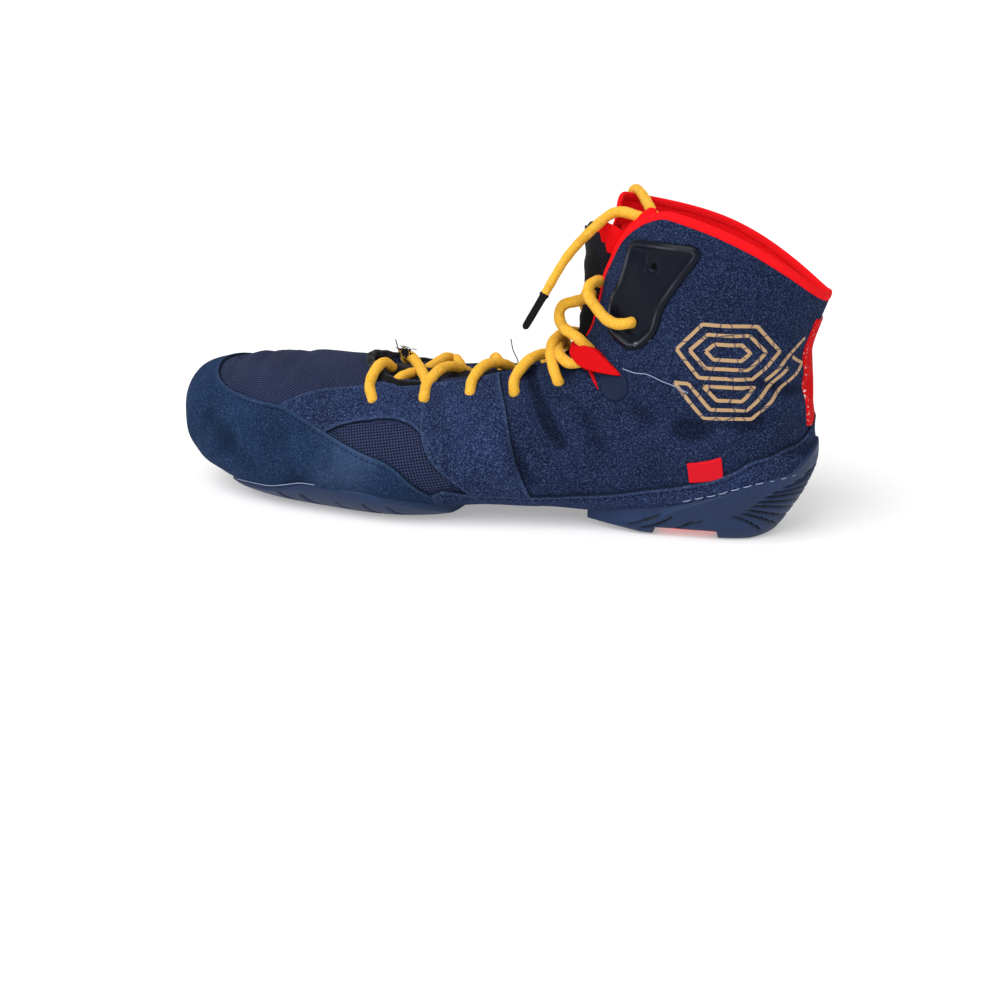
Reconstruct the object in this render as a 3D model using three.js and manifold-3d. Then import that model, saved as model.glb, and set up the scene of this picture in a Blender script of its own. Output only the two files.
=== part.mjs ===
import * as THREE from "three";
import { mergeVertices } from "three/addons/utils/BufferGeometryUtils.js";
import Module from "manifold-3d";

// A left wrestling shoe, in millimetres: toe toward -X, outer side toward -Y, floor at z = 0.

// Driving sizes
const LENGTH = 288;
const BALL_WIDTH = 98;
const COLLAR_HEIGHT = 137.5;
const WALL = 2.2;
const CLEARANCE = 0.3;
const PANEL = 1.0;
const LACE_WIDTH = 5.2;
const EYELET = 5.0;
const BINDING_HEIGHT = 4.0;
const BINDING_THICKNESS = 2.4;
const TONGUE_WIDTH = 46;
const TONGUE_THICKNESS = 2.4;
const RUBBER_WALL = 1.9;
const GROOVE = 0.8;
const STRIP_WIDTH = 20;
const DISC_WIDTH = 11.2;
const AGLET_LENGTH = 17;
const AGLET_WIDTH = 4;

const wasm = await Module();
wasm.setup();

// Colours
const COLOURS = {
  suede: 0x2c3a5e,
  toeSuede: 0x3a5078,
  rubber: 0x2b3c58,
  plate: 0x151c2e,
  red: 0xd8202a,
  lace: 0xe9ac38,
  black: 0x121318,
  board: 0xb9b2a4,
};

// Sections of the form, fanned round the instep from the toe to the collar.
// Each has a top point and a low point in the side view, as shares of length and collar height.
// The half width, its swing to the inner side and the bow of the section are shares of ball width.
// The widest place is a share of the way up, and the last numbers are the roundness above and below it.
const SECTIONS = [
  // name, top x, top z, low x, low z, half width, swing, widest, upper, lower, bow
  ["tip", -0.0035, 0.2618, -0.0035, 0.2618, 0, 0.0816, 0.5, 2, 2, 0],
  ["toe front", 0.0021, 0.3382, 0.0076, 0.1673, 0.1837, 0.0816, 0.46, 2, 2.2, 0],
  ["toe cap", 0.0257, 0.3767, 0.0333, 0.1055, 0.3163, 0.0714, 0.42, 2, 2.5, 0],
  ["toe box", 0.0799, 0.4073, 0.0833, 0.0618, 0.4133, 0.051, 0.4, 1.95, 2.8, 0],
  ["toes", 0.1597, 0.44, 0.1597, 0.0393, 0.4745, 0.0306, 0.38, 1.85, 3, 0],
  ["ball", 0.2708, 0.4545, 0.2708, 0.0305, 0.5, 0.0102, 0.36, 1.75, 3, 0],
  ["waist", 0.3889, 0.4509, 0.3819, 0.032, 0.4796, -0.0306, 0.36, 1.7, 3, 0],
  ["instep", 0.5, 0.4618, 0.5208, 0.0407, 0.3929, -0.0408, 0.4, 1.8, 2.6, 0],
  ["arch", 0.5833, 0.4945, 0.6597, 0.0407, 0.3571, -0.0204, 0.42, 1.9, 2.4, 0],
  ["heel seat", 0.6302, 0.5527, 0.8056, 0.0407, 0.352, 0, 0.45, 2, 2.5, 0],
  ["long heel", 0.6493, 0.6327, 0.9306, 0.0582, 0.3571, 0, 0.5, 2, 2.3, 0.02],
  ["counter", 0.658, 0.7273, 0.9931, 0.2182, 0.3622, 0, 0.52, 2, 2.1, 0.041],
  ["ankle", 0.6667, 0.8218, 0.9826, 0.4364, 0.3571, 0, 0.53, 2.1, 2.1, 0.071],
  ["shaft", 0.6823, 0.9164, 0.9757, 0.5964, 0.3622, 0, 0.54, 2.1, 2.05, 0.102],
  ["collar", 0.7066, 1, 0.9965, 0.7527, 0.3673, 0, 0.55, 2.1, 2, 0.122],
].map(([, ...numbers]) => numbers);
const TOP = SECTIONS.length - 1;

// Half width of the throat opening along the sections, as a share of ball width.
const THROAT = [
  // section, half opening
  [5.28, 0],
  [5.34, 0.06],
  [5.5, 0.12],
  [5.75, 0.165],
  [6.1, 0.165],
  [6.5, 0.125],
  [7, 0.085],
  [7.5, 0.06],
  [8.3, 0.06],
  [9, 0.085],
  [10, 0.125],
  [11, 0.145],
  [12, 0.155],
  [12.6, 0.17],
  [13.1, 0.195],
  [13.4, 0.22],
  [13.65, 0.25],
  [13.85, 0.29],
  [13.95, 0.32],
  [14, 0.35],
];
const THROAT_START = THROAT[0][0];

// Places of the mesh rows along the sections, closer where the shoe turns sharply.
const ROWS = [
  0.3, 0.65, 1, 1.5, 2.2, 3, 4, 4.7, 5.28, 5.36, 5.6, 6.1, 6.7, 7.4, 8.1, 8.8, 9.3, 9.6, 9.95, 10.3, 10.65,
  11, 11.5, 12.2, 13, 13.5, 13.85, 14,
];
const COLUMNS_PER_SIDE = 10;

const mix = (a, b, t) => a + (b - a) * t;

function lookUp(table, at) {
  let k = table.findIndex((row) => row[0] > at);
  if (k < 0) k = table.length;
  if (k === 0) return table[0][1];
  if (k === table.length) return table[k - 1][1];
  const [a, b] = [table[k - 1], table[k]];
  return mix(a[1], b[1], (at - a[0]) / (b[0] - a[0]));
}

// One section's numbers in millimetres, cubic through the table.
function sectionAt(s) {
  const k = Math.min(Math.max(Math.floor(s), 0), TOP - 1);
  const f = s - k;
  const row = (i) => {
    if (i > TOP) return SECTIONS[TOP].map((v, c) => 2 * v - SECTIONS[TOP - 1][c]);
    if (i >= 0) return SECTIONS[i];
    const [topX, topZ, lowX, lowZ, half, ...rest] = SECTIONS[1];
    return [lowX, lowZ, topX, topZ, -half, ...rest];
  };
  const [p, q, r, t] = [row(k - 1), row(k), row(k + 1), row(k + 2)];
  const v = q.map(
    (_, c) =>
      0.5 *
      (2 * q[c] +
        (r[c] - p[c]) * f +
        (2 * p[c] - 5 * q[c] + 4 * r[c] - t[c]) * f * f +
        (3 * q[c] - p[c] - 3 * r[c] + t[c]) * f * f * f),
  );
  return {
    topX: v[0] * LENGTH,
    topZ: v[1] * COLLAR_HEIGHT,
    lowX: v[2] * LENGTH,
    lowZ: v[3] * COLLAR_HEIGHT,
    half: Math.max(v[4], 0) * BALL_WIDTH,
    swing: v[5] * BALL_WIDTH,
    widest: v[6],
    upper: v[7],
    lower: v[8],
    bow: v[9] * BALL_WIDTH,
  };
}

// The half outline of a section from top to bottom, with the share of its length walked at each place.
const ARC_STEPS = 64;
const outlines = new Map();

function outlineAt(s) {
  const key = s.toFixed(5);
  if (outlines.has(key)) return outlines.get(key);
  const c = sectionAt(s);
  const reach = Math.max(Math.hypot(c.topX - c.lowX, c.topZ - c.lowZ), 1e-6);
  const places = [];
  for (let k = 0; k <= ARC_STEPS; k++) {
    const a = (Math.PI / 2) * (1 - k / ARC_STEPS);
    const rise = Math.sin(a) ** (2 / c.upper);
    places.push({ up: mix(c.widest, 1, rise), out: Math.cos(a) ** (2 / c.upper) });
  }
  for (let k = 1; k <= ARC_STEPS; k++) {
    const a = (Math.PI / 2) * (k / ARC_STEPS);
    const fall = Math.sin(a) ** (2 / c.lower);
    places.push({ up: c.widest * (1 - fall), out: Math.max(Math.cos(a), 0) ** (2 / c.lower) });
  }
  places[0].out = 0;
  places[places.length - 1].out = 0;
  let walked = 0;
  places.forEach((place, k) => {
    if (k) {
      const last = places[k - 1];
      walked += Math.hypot((place.up - last.up) * reach, (place.out - last.out) * c.half);
    }
    place.walked = walked;
  });
  const made = { c, places, girth: walked };
  outlines.set(key, made);
  return made;
}

// A point of the form: q is the share of the half girth from the top line, negative on the outer side.
function formPoint(s, q) {
  const { c, places, girth } = outlineAt(s);
  const goal = Math.min(Math.abs(q), 1) * girth;
  let k = 1;
  while (k < places.length - 1 && places[k].walked < goal) k++;
  const [a, b] = [places[k - 1], places[k]];
  const t = b.walked > a.walked ? (goal - a.walked) / (b.walked - a.walked) : 0;
  const up = mix(a.up, b.up, t);
  const out = mix(a.out, b.out, t);
  const axis = new THREE.Vector2(c.topX - c.lowX, c.topZ - c.lowZ);
  const across = new THREE.Vector2(-axis.y, axis.x);
  if (across.y < 0) across.negate();
  if (across.length() > 1e-6) across.normalize();
  const push = c.bow * 4 * up * (1 - up);
  return new THREE.Vector3(
    c.lowX + axis.x * up + across.x * push,
    c.swing + Math.sign(q) * c.half * out,
    c.lowZ + axis.y * up + across.y * push,
  );
}

function formNormal(s, q) {
  if (s < 1e-6) return new THREE.Vector3(-1, 0, 0);
  const [ds, dq] = [0.02, 0.01];
  const along = formPoint(Math.min(s + ds, TOP), q).sub(formPoint(Math.max(s - ds, 0), q));
  const round = formPoint(s, Math.min(q + dq, 1)).sub(formPoint(s, Math.max(q - dq, -1)));
  const normal = round.cross(along).normalize();
  const { c } = outlineAt(s);
  const middle = new THREE.Vector3((c.topX + c.lowX) / 2, c.swing, (c.topZ + c.lowZ) / 2);
  return normal.dot(formPoint(s, q).sub(middle)) < 0 ? normal.negate() : normal;
}

function offsetPoint(s, q, offset) {
  return formPoint(s, q).addScaledVector(formNormal(s, q), offset);
}

const throatShare = (s) => (s <= THROAT_START ? 0 : (lookUp(THROAT, s) * BALL_WIDTH) / outlineAt(s).girth);

// One row of points from the throat on the outer side, under the foot, to the throat on the inner side.
function rowPoints(s, offset) {
  const gap = throatShare(s);
  const points = [];
  for (let j = 0; j <= COLUMNS_PER_SIDE; j++) {
    points.push(offsetPoint(s, -mix(gap, 1, j / COLUMNS_PER_SIDE), offset));
  }
  for (let j = COLUMNS_PER_SIDE - 1; j >= 0; j--) {
    points.push(offsetPoint(s, mix(gap, 1, j / COLUMNS_PER_SIDE), offset));
  }
  return points;
}

// Meshes and solids
function geometryOf(triangles) {
  const made = new THREE.BufferGeometry();
  const numbers = triangles.flat().flatMap((p) => [p.x, p.y, p.z]);
  made.setAttribute("position", new THREE.Float32BufferAttribute(numbers, 3));
  return made;
}

function solidOf(geometry) {
  const bare = geometry.clone();
  bare.deleteAttribute("normal");
  bare.deleteAttribute("uv");
  const merged = mergeVertices(bare, 1e-4);
  const index = merged.index.array;
  const kept = [];
  for (let i = 0; i < index.length; i += 3) {
    const [a, b, c] = [index[i], index[i + 1], index[i + 2]];
    if (a !== b && b !== c && a !== c) kept.push(a, b, c);
  }
  const vertProperties = new Float32Array(merged.attributes.position.array);
  const make = (list) =>
    new wasm.Manifold(new wasm.Mesh({ numProp: 3, vertProperties, triVerts: new Uint32Array(list) }));
  const made = make(kept);
  if (made.volume() >= 0) return made;
  for (let i = 0; i < kept.length; i += 3) [kept[i + 1], kept[i + 2]] = [kept[i + 2], kept[i + 1]];
  return make(kept);
}

const quad = (a, b, c, d) => [
  [a, b, c],
  [a, c, d],
];

// A closed body between rings of points; each ring is a loop, and both ends are capped to their middle.
function loftSolid(rings) {
  const triangles = [];
  rings.slice(1).forEach((next, i) => {
    const ring = rings[i];
    ring.forEach((p, k) => {
      const n = (k + 1) % ring.length;
      triangles.push(...quad(p, ring[n], next[n], next[k]));
    });
  });
  const cap = (ring, turned) => {
    const middle = ring.reduce((sum, p) => sum.add(p), new THREE.Vector3()).divideScalar(ring.length);
    ring.forEach((p, k) => {
      const n = ring[(k + 1) % ring.length];
      triangles.push(turned ? [middle, n, p] : [middle, p, n]);
    });
  };
  cap(rings[0], true);
  cap(rings[rings.length - 1], false);
  return solidOf(geometryOf(triangles));
}

// The whole form at an offset from the outer face of the upper, closed over the throat and collar.
function formSolid(offset, reshape = (p) => p) {
  const tip = offsetPoint(0, 0, offset);
  const first = rowPoints(ROWS[0], offset).map(() => tip.clone());
  const rings = [first, ...ROWS.map((s) => rowPoints(s, offset))];
  return loftSolid(rings.map((ring) => ring.map((p) => reshape(p.clone()))));
}

// A sheet with thickness from two grids of points with the same size.
function sheetSolid(outer, inner) {
  const triangles = [];
  const rows = outer.length - 1;
  const columns = outer[0].length - 1;
  for (let i = 0; i < rows; i++) {
    for (let k = 0; k < columns; k++) {
      triangles.push(...quad(outer[i][k], outer[i][k + 1], outer[i + 1][k + 1], outer[i + 1][k]));
      triangles.push(...quad(inner[i][k], inner[i + 1][k], inner[i + 1][k + 1], inner[i][k + 1]));
    }
    triangles.push(...quad(outer[i][0], outer[i + 1][0], inner[i + 1][0], inner[i][0]));
    triangles.push(...quad(outer[i + 1][columns], outer[i][columns], inner[i][columns], inner[i + 1][columns]));
  }
  for (let k = 0; k < columns; k++) {
    triangles.push(...quad(outer[rows][k], outer[rows][k + 1], inner[rows][k + 1], inner[rows][k]));
    triangles.push(...quad(outer[0][k + 1], outer[0][k], inner[0][k], inner[0][k + 1]));
  }
  return solidOf(geometryOf(triangles));
}

// A prism across the shoe from an outline in the side view, as shares of length and collar height.
function sidePrism(outline, fromY = -BALL_WIDTH, toY = BALL_WIDTH) {
  const shape = new THREE.Shape(
    outline.map(([x, z]) => new THREE.Vector2(x * LENGTH, z * COLLAR_HEIGHT)),
  );
  const made = new THREE.ExtrudeGeometry(shape, { depth: toY - fromY, bevelEnabled: false });
  made.rotateX(Math.PI / 2);
  made.translate(0, toY, 0);
  return solidOf(made);
}

// An upright prism from half widths along the length, as shares of length, ball width and collar height.
function planPrism(stations, inset, from, to) {
  const place = (x, y) => new THREE.Vector2(x * LENGTH, y * BALL_WIDTH);
  const outer = stations.map(([x, half, swing]) => place(x, swing - half).add(new THREE.Vector2(0, inset)));
  const inner = stations.map(([x, half, swing]) => place(x, swing + half).sub(new THREE.Vector2(0, inset)));
  outer[0].x += inset;
  inner[0].x += inset;
  outer[outer.length - 1].x -= inset;
  inner[inner.length - 1].x -= inset;
  const shape = new THREE.Shape([...outer, ...inner.reverse()]);
  const made = new THREE.ExtrudeGeometry(shape, { depth: (to - from) * COLLAR_HEIGHT, bevelEnabled: false });
  made.translate(0, 0, from * COLLAR_HEIGHT);
  return solidOf(made);
}

function tube(points, width, steps, sides = 10) {
  const path = new THREE.CatmullRomCurve3(points, false, "centripetal");
  const shape = new THREE.Shape();
  for (let k = 0; k < sides; k++) {
    const a = (2 * Math.PI * k) / sides;
    const [x, y] = [(width / 2) * Math.cos(a), (width / 2) * Math.sin(a)];
    if (k) shape.lineTo(x, y);
    else shape.moveTo(x, y);
  }
  return solidOf(new THREE.ExtrudeGeometry(shape, { steps, extrudePath: path, bevelEnabled: false }));
}

const group = new THREE.Group();
group.name = "wrestling_shoe";

const trim = new Set();
const SLIVER = 0.03;

function addPiece(name, solid, colour, roughness, isCord = false) {
  const mesh = solid.simplify(SLIVER).getMesh();
  const made = new THREE.BufferGeometry();
  const positions = new Float32Array(mesh.numVert * 3);
  for (let i = 0; i < mesh.numVert; i++) {
    positions.set(mesh.vertProperties.subarray(i * mesh.numProp, i * mesh.numProp + 3), i * 3);
  }
  made.setAttribute("position", new THREE.BufferAttribute(positions, 3));
  made.setIndex(new THREE.BufferAttribute(new Uint32Array(mesh.triVerts), 1));
  made.computeVertexNormals();
  const piece = new THREE.Mesh(made, new THREE.MeshStandardMaterial({ color: colour, roughness }));
  piece.name = name;
  if (isCord) trim.add(piece);
  group.add(piece);
  return solid;
}

// Openings under the foot that the soles close, and the plugs that fill them.
const FOREFOOT_OPENING = [
  // along, half width, swing to the inner side
  [0.15, 0.2, 0.035],
  [0.19, 0.29, 0.03],
  [0.25, 0.34, 0.015],
  [0.32, 0.34, -0.005],
  [0.37, 0.3, -0.02],
  [0.4, 0.2, -0.025],
];
const HEEL_OPENING = [
  [0.745, 0.12, 0],
  [0.775, 0.19, 0],
  [0.83, 0.21, 0],
  [0.875, 0.19, 0],
  [0.905, 0.12, 0],
];
const openings = (inset) => [FOREFOOT_OPENING, HEEL_OPENING].map((table) => planPrism(table, inset, -0.15, 0.175));

// Eyelets on each side, from the toe: section and share of the half girth.
const EYELETS = [
  [5.58, 0.256],
  [6.25, 0.232],
  [6.83, 0.205],
  [7.5, 0.208],
  [8.35, 0.189],
];
const PLATE_EYELET = [11.05, 0.24];

function boreAt(s, q, width, depth) {
  const bore = new THREE.CylinderGeometry(width / 2, width / 2, depth, 8);
  const turn = new THREE.Quaternion().setFromUnitVectors(new THREE.Vector3(0, 1, 0), formNormal(s, q));
  bore.applyQuaternion(turn);
  const at = formPoint(s, q);
  bore.translate(at.x, at.y, at.z);
  return solidOf(bore);
}

const bores = [...EYELETS, PLATE_EYELET].flatMap(([s, q]) => [
  boreAt(s, -q, EYELET, 14),
  boreAt(s, q, EYELET, 14),
]);

// The upper: one wall, open at the collar, down the throat, under the forefoot and under the heel.
function upperSolid() {
  const ringsAt = (offset) => {
    const tip = offsetPoint(0, 0, offset);
    const first = rowPoints(ROWS[0], offset).map(() => tip.clone());
    return [first, ...ROWS.map((s) => rowPoints(s, offset))];
  };
  const outer = ringsAt(0);
  const inner = ringsAt(-WALL);
  const triangles = [];
  const last = outer[0].length - 1;
  const end = outer.length - 1;
  for (let i = 0; i < end; i++) {
    for (let k = 0; k < last; k++) {
      triangles.push(...quad(outer[i][k], outer[i][k + 1], outer[i + 1][k + 1], outer[i + 1][k]));
      triangles.push(...quad(inner[i][k], inner[i + 1][k], inner[i + 1][k + 1], inner[i][k + 1]));
    }
    if (i > 0 && ROWS[i] > THROAT_START) {
      triangles.push(...quad(outer[i][0], outer[i + 1][0], inner[i + 1][0], inner[i][0]));
      triangles.push(...quad(outer[i + 1][last], outer[i][last], inner[i][last], inner[i + 1][last]));
    }
  }
  for (let k = 0; k < last; k++) {
    triangles.push(...quad(outer[end][k], outer[end][k + 1], inner[end][k + 1], inner[end][k]));
  }
  let made = solidOf(geometryOf(triangles));
  for (const prism of openings(0)) made = made.subtract(prism);
  for (const bore of bores) made = made.subtract(bore);
  return made;
}

addPiece("upper", upperSolid(), COLOURS.suede, 0.9);

// The insole lies on the inside of the upper, with a top that is level across the foot.
const INSOLE_TOP = [
  // along, height
  [0.03, 0.185],
  [0.083, 0.109],
  [0.16, 0.082],
  [0.27, 0.073],
  [0.382, 0.074],
  [0.521, 0.083],
  [0.66, 0.083],
  [0.806, 0.083],
  [0.9, 0.095],
  [0.965, 0.13],
];

function insoleSolid() {
  const ends = [
    [1.1, INSOLE_TOP.at(-1)[1]],
    [1.1, -0.1],
    [-0.1, -0.1],
    [-0.1, 0.3],
  ];
  return formSolid(-WALL - CLEARANCE).intersect(sidePrism([...INSOLE_TOP, ...ends]));
}

addPiece("insole", insoleSolid(), COLOURS.board, 0.95);

// The soles: the form swelled by the rubber wall and drawn down below the floor, then cut to the side view.
const FOREFOOT_PROFILE = [
  [0.1195, 0.0665],
  [0.1195, 0.037],
  [0.167, 0.017],
  [0.205, 0.0035],
  [0.225, 0],
  [0.4, 0],
  [0.437, 0.0073],
  [0.466, 0.0218],
  [0.464, 0.046],
  [0.445, 0.068],
  [0.395, 0.0916],
  [0.267, 0.0865],
  [0.2, 0.076],
  [0.141, 0.071],
];
const HEEL_PROFILE = [
  [0.672, 0.0605],
  [0.672, 0.0291],
  [0.694, 0.024],
  [0.73, 0.0116],
  [0.76, 0.0029],
  [0.78, 0],
  [0.915, 0],
  [0.948, 0.008],
  [0.972, 0.036],
  [0.986, 0.0727],
  [1.004, 0.149],
  [1.02, 0.2327],
  [1.02, 0.312],
  [0.997, 0.305],
  [0.965, 0.234],
  [0.911, 0.201],
  [0.84, 0.154],
  [0.768, 0.099],
  [0.694, 0.0735],
];

// Side grooves of the soles: bands in the side view, each between two lines of the same length.
const FOREFOOT_GROOVES = [
  [
    [0.205, 0.02],
    [0.222, 0.061],
    [0.226, 0.061],
    [0.211, 0.02],
  ],
  [
    [0.245, 0.008],
    [0.262, 0.06],
    [0.266, 0.06],
    [0.251, 0.008],
  ],
  [
    [0.335, 0.008],
    [0.352, 0.06],
    [0.356, 0.06],
    [0.341, 0.008],
  ],
  [
    [0.38, 0.012],
    [0.399, 0.062],
    [0.403, 0.062],
    [0.386, 0.012],
  ],
];
const HEEL_GROOVES = [
  [
    [0.712, 0.052],
    [0.76, 0.031],
    [0.8, 0.04],
    [0.8, 0.047],
    [0.76, 0.038],
    [0.714, 0.059],
  ],
  [
    [0.735, 0.068],
    [0.775, 0.048],
    [0.825, 0.066],
    [0.825, 0.073],
    [0.775, 0.055],
    [0.737, 0.075],
  ],
  [
    [0.89, 0.045],
    [0.93, 0.115],
    [0.972, 0.134],
    [0.972, 0.141],
    [0.926, 0.121],
    [0.884, 0.05],
  ],
  [
    [0.915, 0.03],
    [0.95, 0.085],
    [0.99, 0.105],
    [0.99, 0.112],
    [0.946, 0.091],
    [0.909, 0.035],
  ],
  [
    [0.88, 0.085],
    [0.925, 0.155],
    [0.985, 0.182],
    [0.985, 0.189],
    [0.921, 0.161],
    [0.874, 0.09],
  ],
  [
    [0.865, 0.125],
    [0.915, 0.188],
    [0.99, 0.22],
    [0.99, 0.227],
    [0.911, 0.194],
    [0.859, 0.13],
  ],
];

// Stretches what is below a share of the collar height downward.
const lowered = (share, stretch) => (p) => {
  const from = share * COLLAR_HEIGHT;
  if (p.z < from) p.z = from - (from - p.z) * stretch;
  return p;
};

const panelOuter = formSolid(CLEARANCE + PANEL);
const panelInner = formSolid(CLEARANCE);
const plugInner = formSolid(-WALL + CLEARANCE);
const [forefootPlug, heelPlug] = openings(CLEARANCE);

function outsoleSolid(profile, grooves, share, stretch, plug) {
  const body = formSolid(RUBBER_WALL, lowered(share, stretch));
  const core = formSolid(RUBBER_WALL - GROOVE, lowered(share, stretch));
  let made = body.intersect(sidePrism(profile)).subtract(panelInner);
  made = made.add(plug.intersect(body).intersect(sidePrism([
    [-0.1, 0.02],
    [1.1, 0.02],
    [1.1, 0.16],
    [-0.1, 0.16],
  ])).subtract(plugInner));
  for (const groove of grooves) made = made.subtract(sidePrism(groove).subtract(core));
  return made;
}

const forefoot = outsoleSolid(FOREFOOT_PROFILE, FOREFOOT_GROOVES, 0.102, 1.45, forefootPlug);
const heel = outsoleSolid(HEEL_PROFILE, HEEL_GROOVES, 0.189, 1.28, heelPlug);

// The heel has a recess across its tread for a red pad.
const PAD = [
  [0.772, -0.02],
  [0.866, -0.02],
  [0.858, 0.028],
  [0.78, 0.028],
];
const [besidePad, overPad] = [CLEARANCE / LENGTH, CLEARANCE / COLLAR_HEIGHT];
const padCut = PAD.map(([x, z]) => [
  x < 0.8 ? x - besidePad : x + besidePad,
  z > 0 ? z + overPad : z,
]);
const treadCuts = [0.235, 0.29, 0.325, 0.37].map((x) =>
  sidePrism([
    [x - 0.004, -0.01],
    [x + 0.004, -0.01],
    [x + 0.002, 0.009],
    [x - 0.002, 0.009],
  ]),
);
addPiece(
  "forefoot_outsole",
  treadCuts.reduce((made, cut) => made.subtract(cut), forefoot),
  COLOURS.rubber,
  0.6,
);
addPiece("heel_outsole", heel.subtract(sidePrism(padCut)), COLOURS.rubber, 0.6);
addPiece("heel_insert", heel.intersect(sidePrism(PAD)), COLOURS.red, 0.55);

// Panels sewn on the upper, each with its outline in the side view.
const TOE_CAP = [
  [-0.05, 0.45],
  [0.038, 0.45],
  [0.046, 0.387],
  [0.083, 0.358],
  [0.213, 0.34],
  [0.264, 0.324],
  [0.316, 0.289],
  [0.4, 0.224],
  [0.451, 0.171],
  [0.464, 0.12],
  [0.445, 0.0702],
  [0.395, 0.0938],
  [0.267, 0.0887],
  [0.2, 0.0782],
  [0.141, 0.0732],
  [0.118, 0.0687],
  [0.118, -0.05],
  [-0.05, -0.05],
];
const SADDLE = [
  [0.403, 0.426],
  [0.417, 0.384],
  [0.423, 0.31],
  [0.442, 0.243],
  [0.482, 0.174],
  [0.516, 0.15],
  [0.592, 0.155],
  [0.581, 0.178],
  [0.567, 0.259],
  [0.552, 0.35],
  [0.531, 0.435],
  [0.5, 0.44],
];
const FOXING = [
  [0.472, 0.118],
  [0.48, 0.162],
  [0.515, 0.1269],
  [0.634, 0.1367],
  [0.75, 0.173],
  [0.824, 0.205],
  [0.908, 0.285],
  [0.987, 0.368],
  [1.05, 0.372],
  [1.05, 0.315],
  [0.997, 0.3082],
  [0.965, 0.2372],
  [0.911, 0.2042],
  [0.84, 0.1572],
  [0.768, 0.1022],
  [0.694, 0.0767],
  [0.669, 0.0637],
  [0.669, -0.05],
  [0.468, -0.05],
  [0.468, 0.06],
];
const PLATE = [
  [0.7206, 0.9255],
  [0.8063, 0.928],
  [0.8166, 0.915],
  [0.817, 0.891],
  [0.7885, 0.8007],
  [0.7698, 0.7345],
  [0.7608, 0.6538],
  [0.7396, 0.6029],
  [0.716, 0.592],
  [0.6816, 0.6364],
  [0.6861, 0.7309],
  [0.7042, 0.8284],
  [0.712, 0.905],
];
const LOOP = [
  [0.7206, 0.532],
  [0.662, 0.496],
  [0.642, 0.5],
  [0.634, 0.545],
  [0.65, 0.575],
];
const DISC = Array.from({ length: 16 }, (_, k) => {
  const a = (2 * Math.PI * k) / 16;
  const [x, z] = [(DISC_WIDTH / 2) * Math.cos(a), (DISC_WIDTH / 2) * Math.sin(a)];
  return [0.7035 + x / LENGTH, 0.463 + z / COLLAR_HEIGHT];
});
const TAB = [
  [0.8184, 0.2727],
  [0.8688, 0.2975],
  [0.8726, 0.2585],
  [0.823, 0.2165],
];

const panelShell = panelOuter.subtract(panelInner);
const sides = { lateral: [-BALL_WIDTH, 0], medial: [0, BALL_WIDTH] };

addPiece("toe_cap", panelShell.intersect(sidePrism(TOE_CAP)), COLOURS.toeSuede, 0.9);
addPiece("foxing_band", panelShell.intersect(sidePrism(FOXING)), COLOURS.suede, 0.9);

const thickShell = formSolid(CLEARANCE + 1.9 * PANEL).subtract(panelInner);
for (const [side, range] of Object.entries(sides)) {
  addPiece(`saddle_${side}`, panelShell.intersect(sidePrism(SADDLE, ...range)), COLOURS.suede, 0.9);
  const plate = bores.reduce((made, bore) => made.subtract(bore), panelShell.intersect(sidePrism(PLATE, ...range)));
  addPiece(`lace_plate_${side}`, plate, COLOURS.plate, 0.35);
  addPiece(`lace_loop_${side}`, thickShell.intersect(sidePrism(LOOP, ...range)), COLOURS.red, 0.8);
  addPiece(`lace_disc_${side}`, panelShell.intersect(sidePrism(DISC, ...range)), COLOURS.plate, 0.5);
}
addPiece("side_tab", panelShell.intersect(sidePrism(TAB, ...sides.lateral)), COLOURS.red, 0.6);
addPiece(
  "back_strip",
  panelShell.intersect(
    sidePrism(
      [
        [0.93, 0.386],
        [1.1, 0.386],
        [1.1, 0.716],
        [0.93, 0.69],
      ],
      -STRIP_WIDTH / 2,
      STRIP_WIDTH / 2,
    ),
  ),
  COLOURS.red,
  0.85,
);

// The binding runs up one side of the throat, round the collar and down the other side.
const BINDING_START = 9.6;

function bindingPlaces() {
  const up = [];
  for (const s of ROWS) if (s >= BINDING_START - 1e-6) up.push([s, -throatShare(s)]);
  const round = [];
  const gap = throatShare(TOP);
  const steps = 2 * COLUMNS_PER_SIDE;
  for (let k = 1; k < steps; k++) {
    const share = Math.abs(1 - (2 * k) / steps);
    round.push([TOP, (k < steps / 2 ? -1 : 1) * mix(1, gap, share)]);
  }
  return [...up, ...round, ...up.map(([s, q]) => [s, -q]).reverse()];
}

function bindingSolid() {
  const places = bindingPlaces();
  const edge = places.map(([s, q]) => offsetPoint(s, q, -WALL / 2));
  const rings = edge.map((p, k) => {
    const along = edge[Math.min(k + 1, edge.length - 1)].clone().sub(edge[Math.max(k - 1, 0)]).normalize();
    const normal = formNormal(...places[k]);
    const away = along.clone().cross(normal).normalize();
    const inside = formPoint(Math.min(places[k][0], TOP - 1), Math.sign(places[k][1]) * 0.6);
    if (away.dot(inside.sub(p)) > 0) away.negate();
    const middle = p.clone().addScaledVector(away, CLEARANCE + BINDING_HEIGHT / 2);
    return Array.from({ length: 8 }, (_, n) => {
      const a = (Math.PI * (2 * n + 1)) / 8;
      return middle
        .clone()
        .addScaledVector(away, (BINDING_HEIGHT / 2) * Math.cos(a) * 1.08)
        .addScaledVector(normal, (BINDING_THICKNESS / 2) * Math.sin(a) * 1.08);
    });
  });
  return loftSolid(rings);
}

addPiece("collar_binding", bindingSolid(), COLOURS.red, 0.8);

// The tongue lies under the edges of the throat and stands forward between them up the shaft.
const TONGUE_RISE = [
  // section, rise of its middle over the form
  [5.1, -0.028],
  [5.6, -0.015],
  [6.5, -0.02],
  [8, -0.02],
  [9, 0.02],
  [10, 0.055],
  [11, 0.065],
  [12, 0.095],
  [13, 0.14],
  [13.25, 0.145],
];
const TONGUE_COLUMNS = 10;

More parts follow.
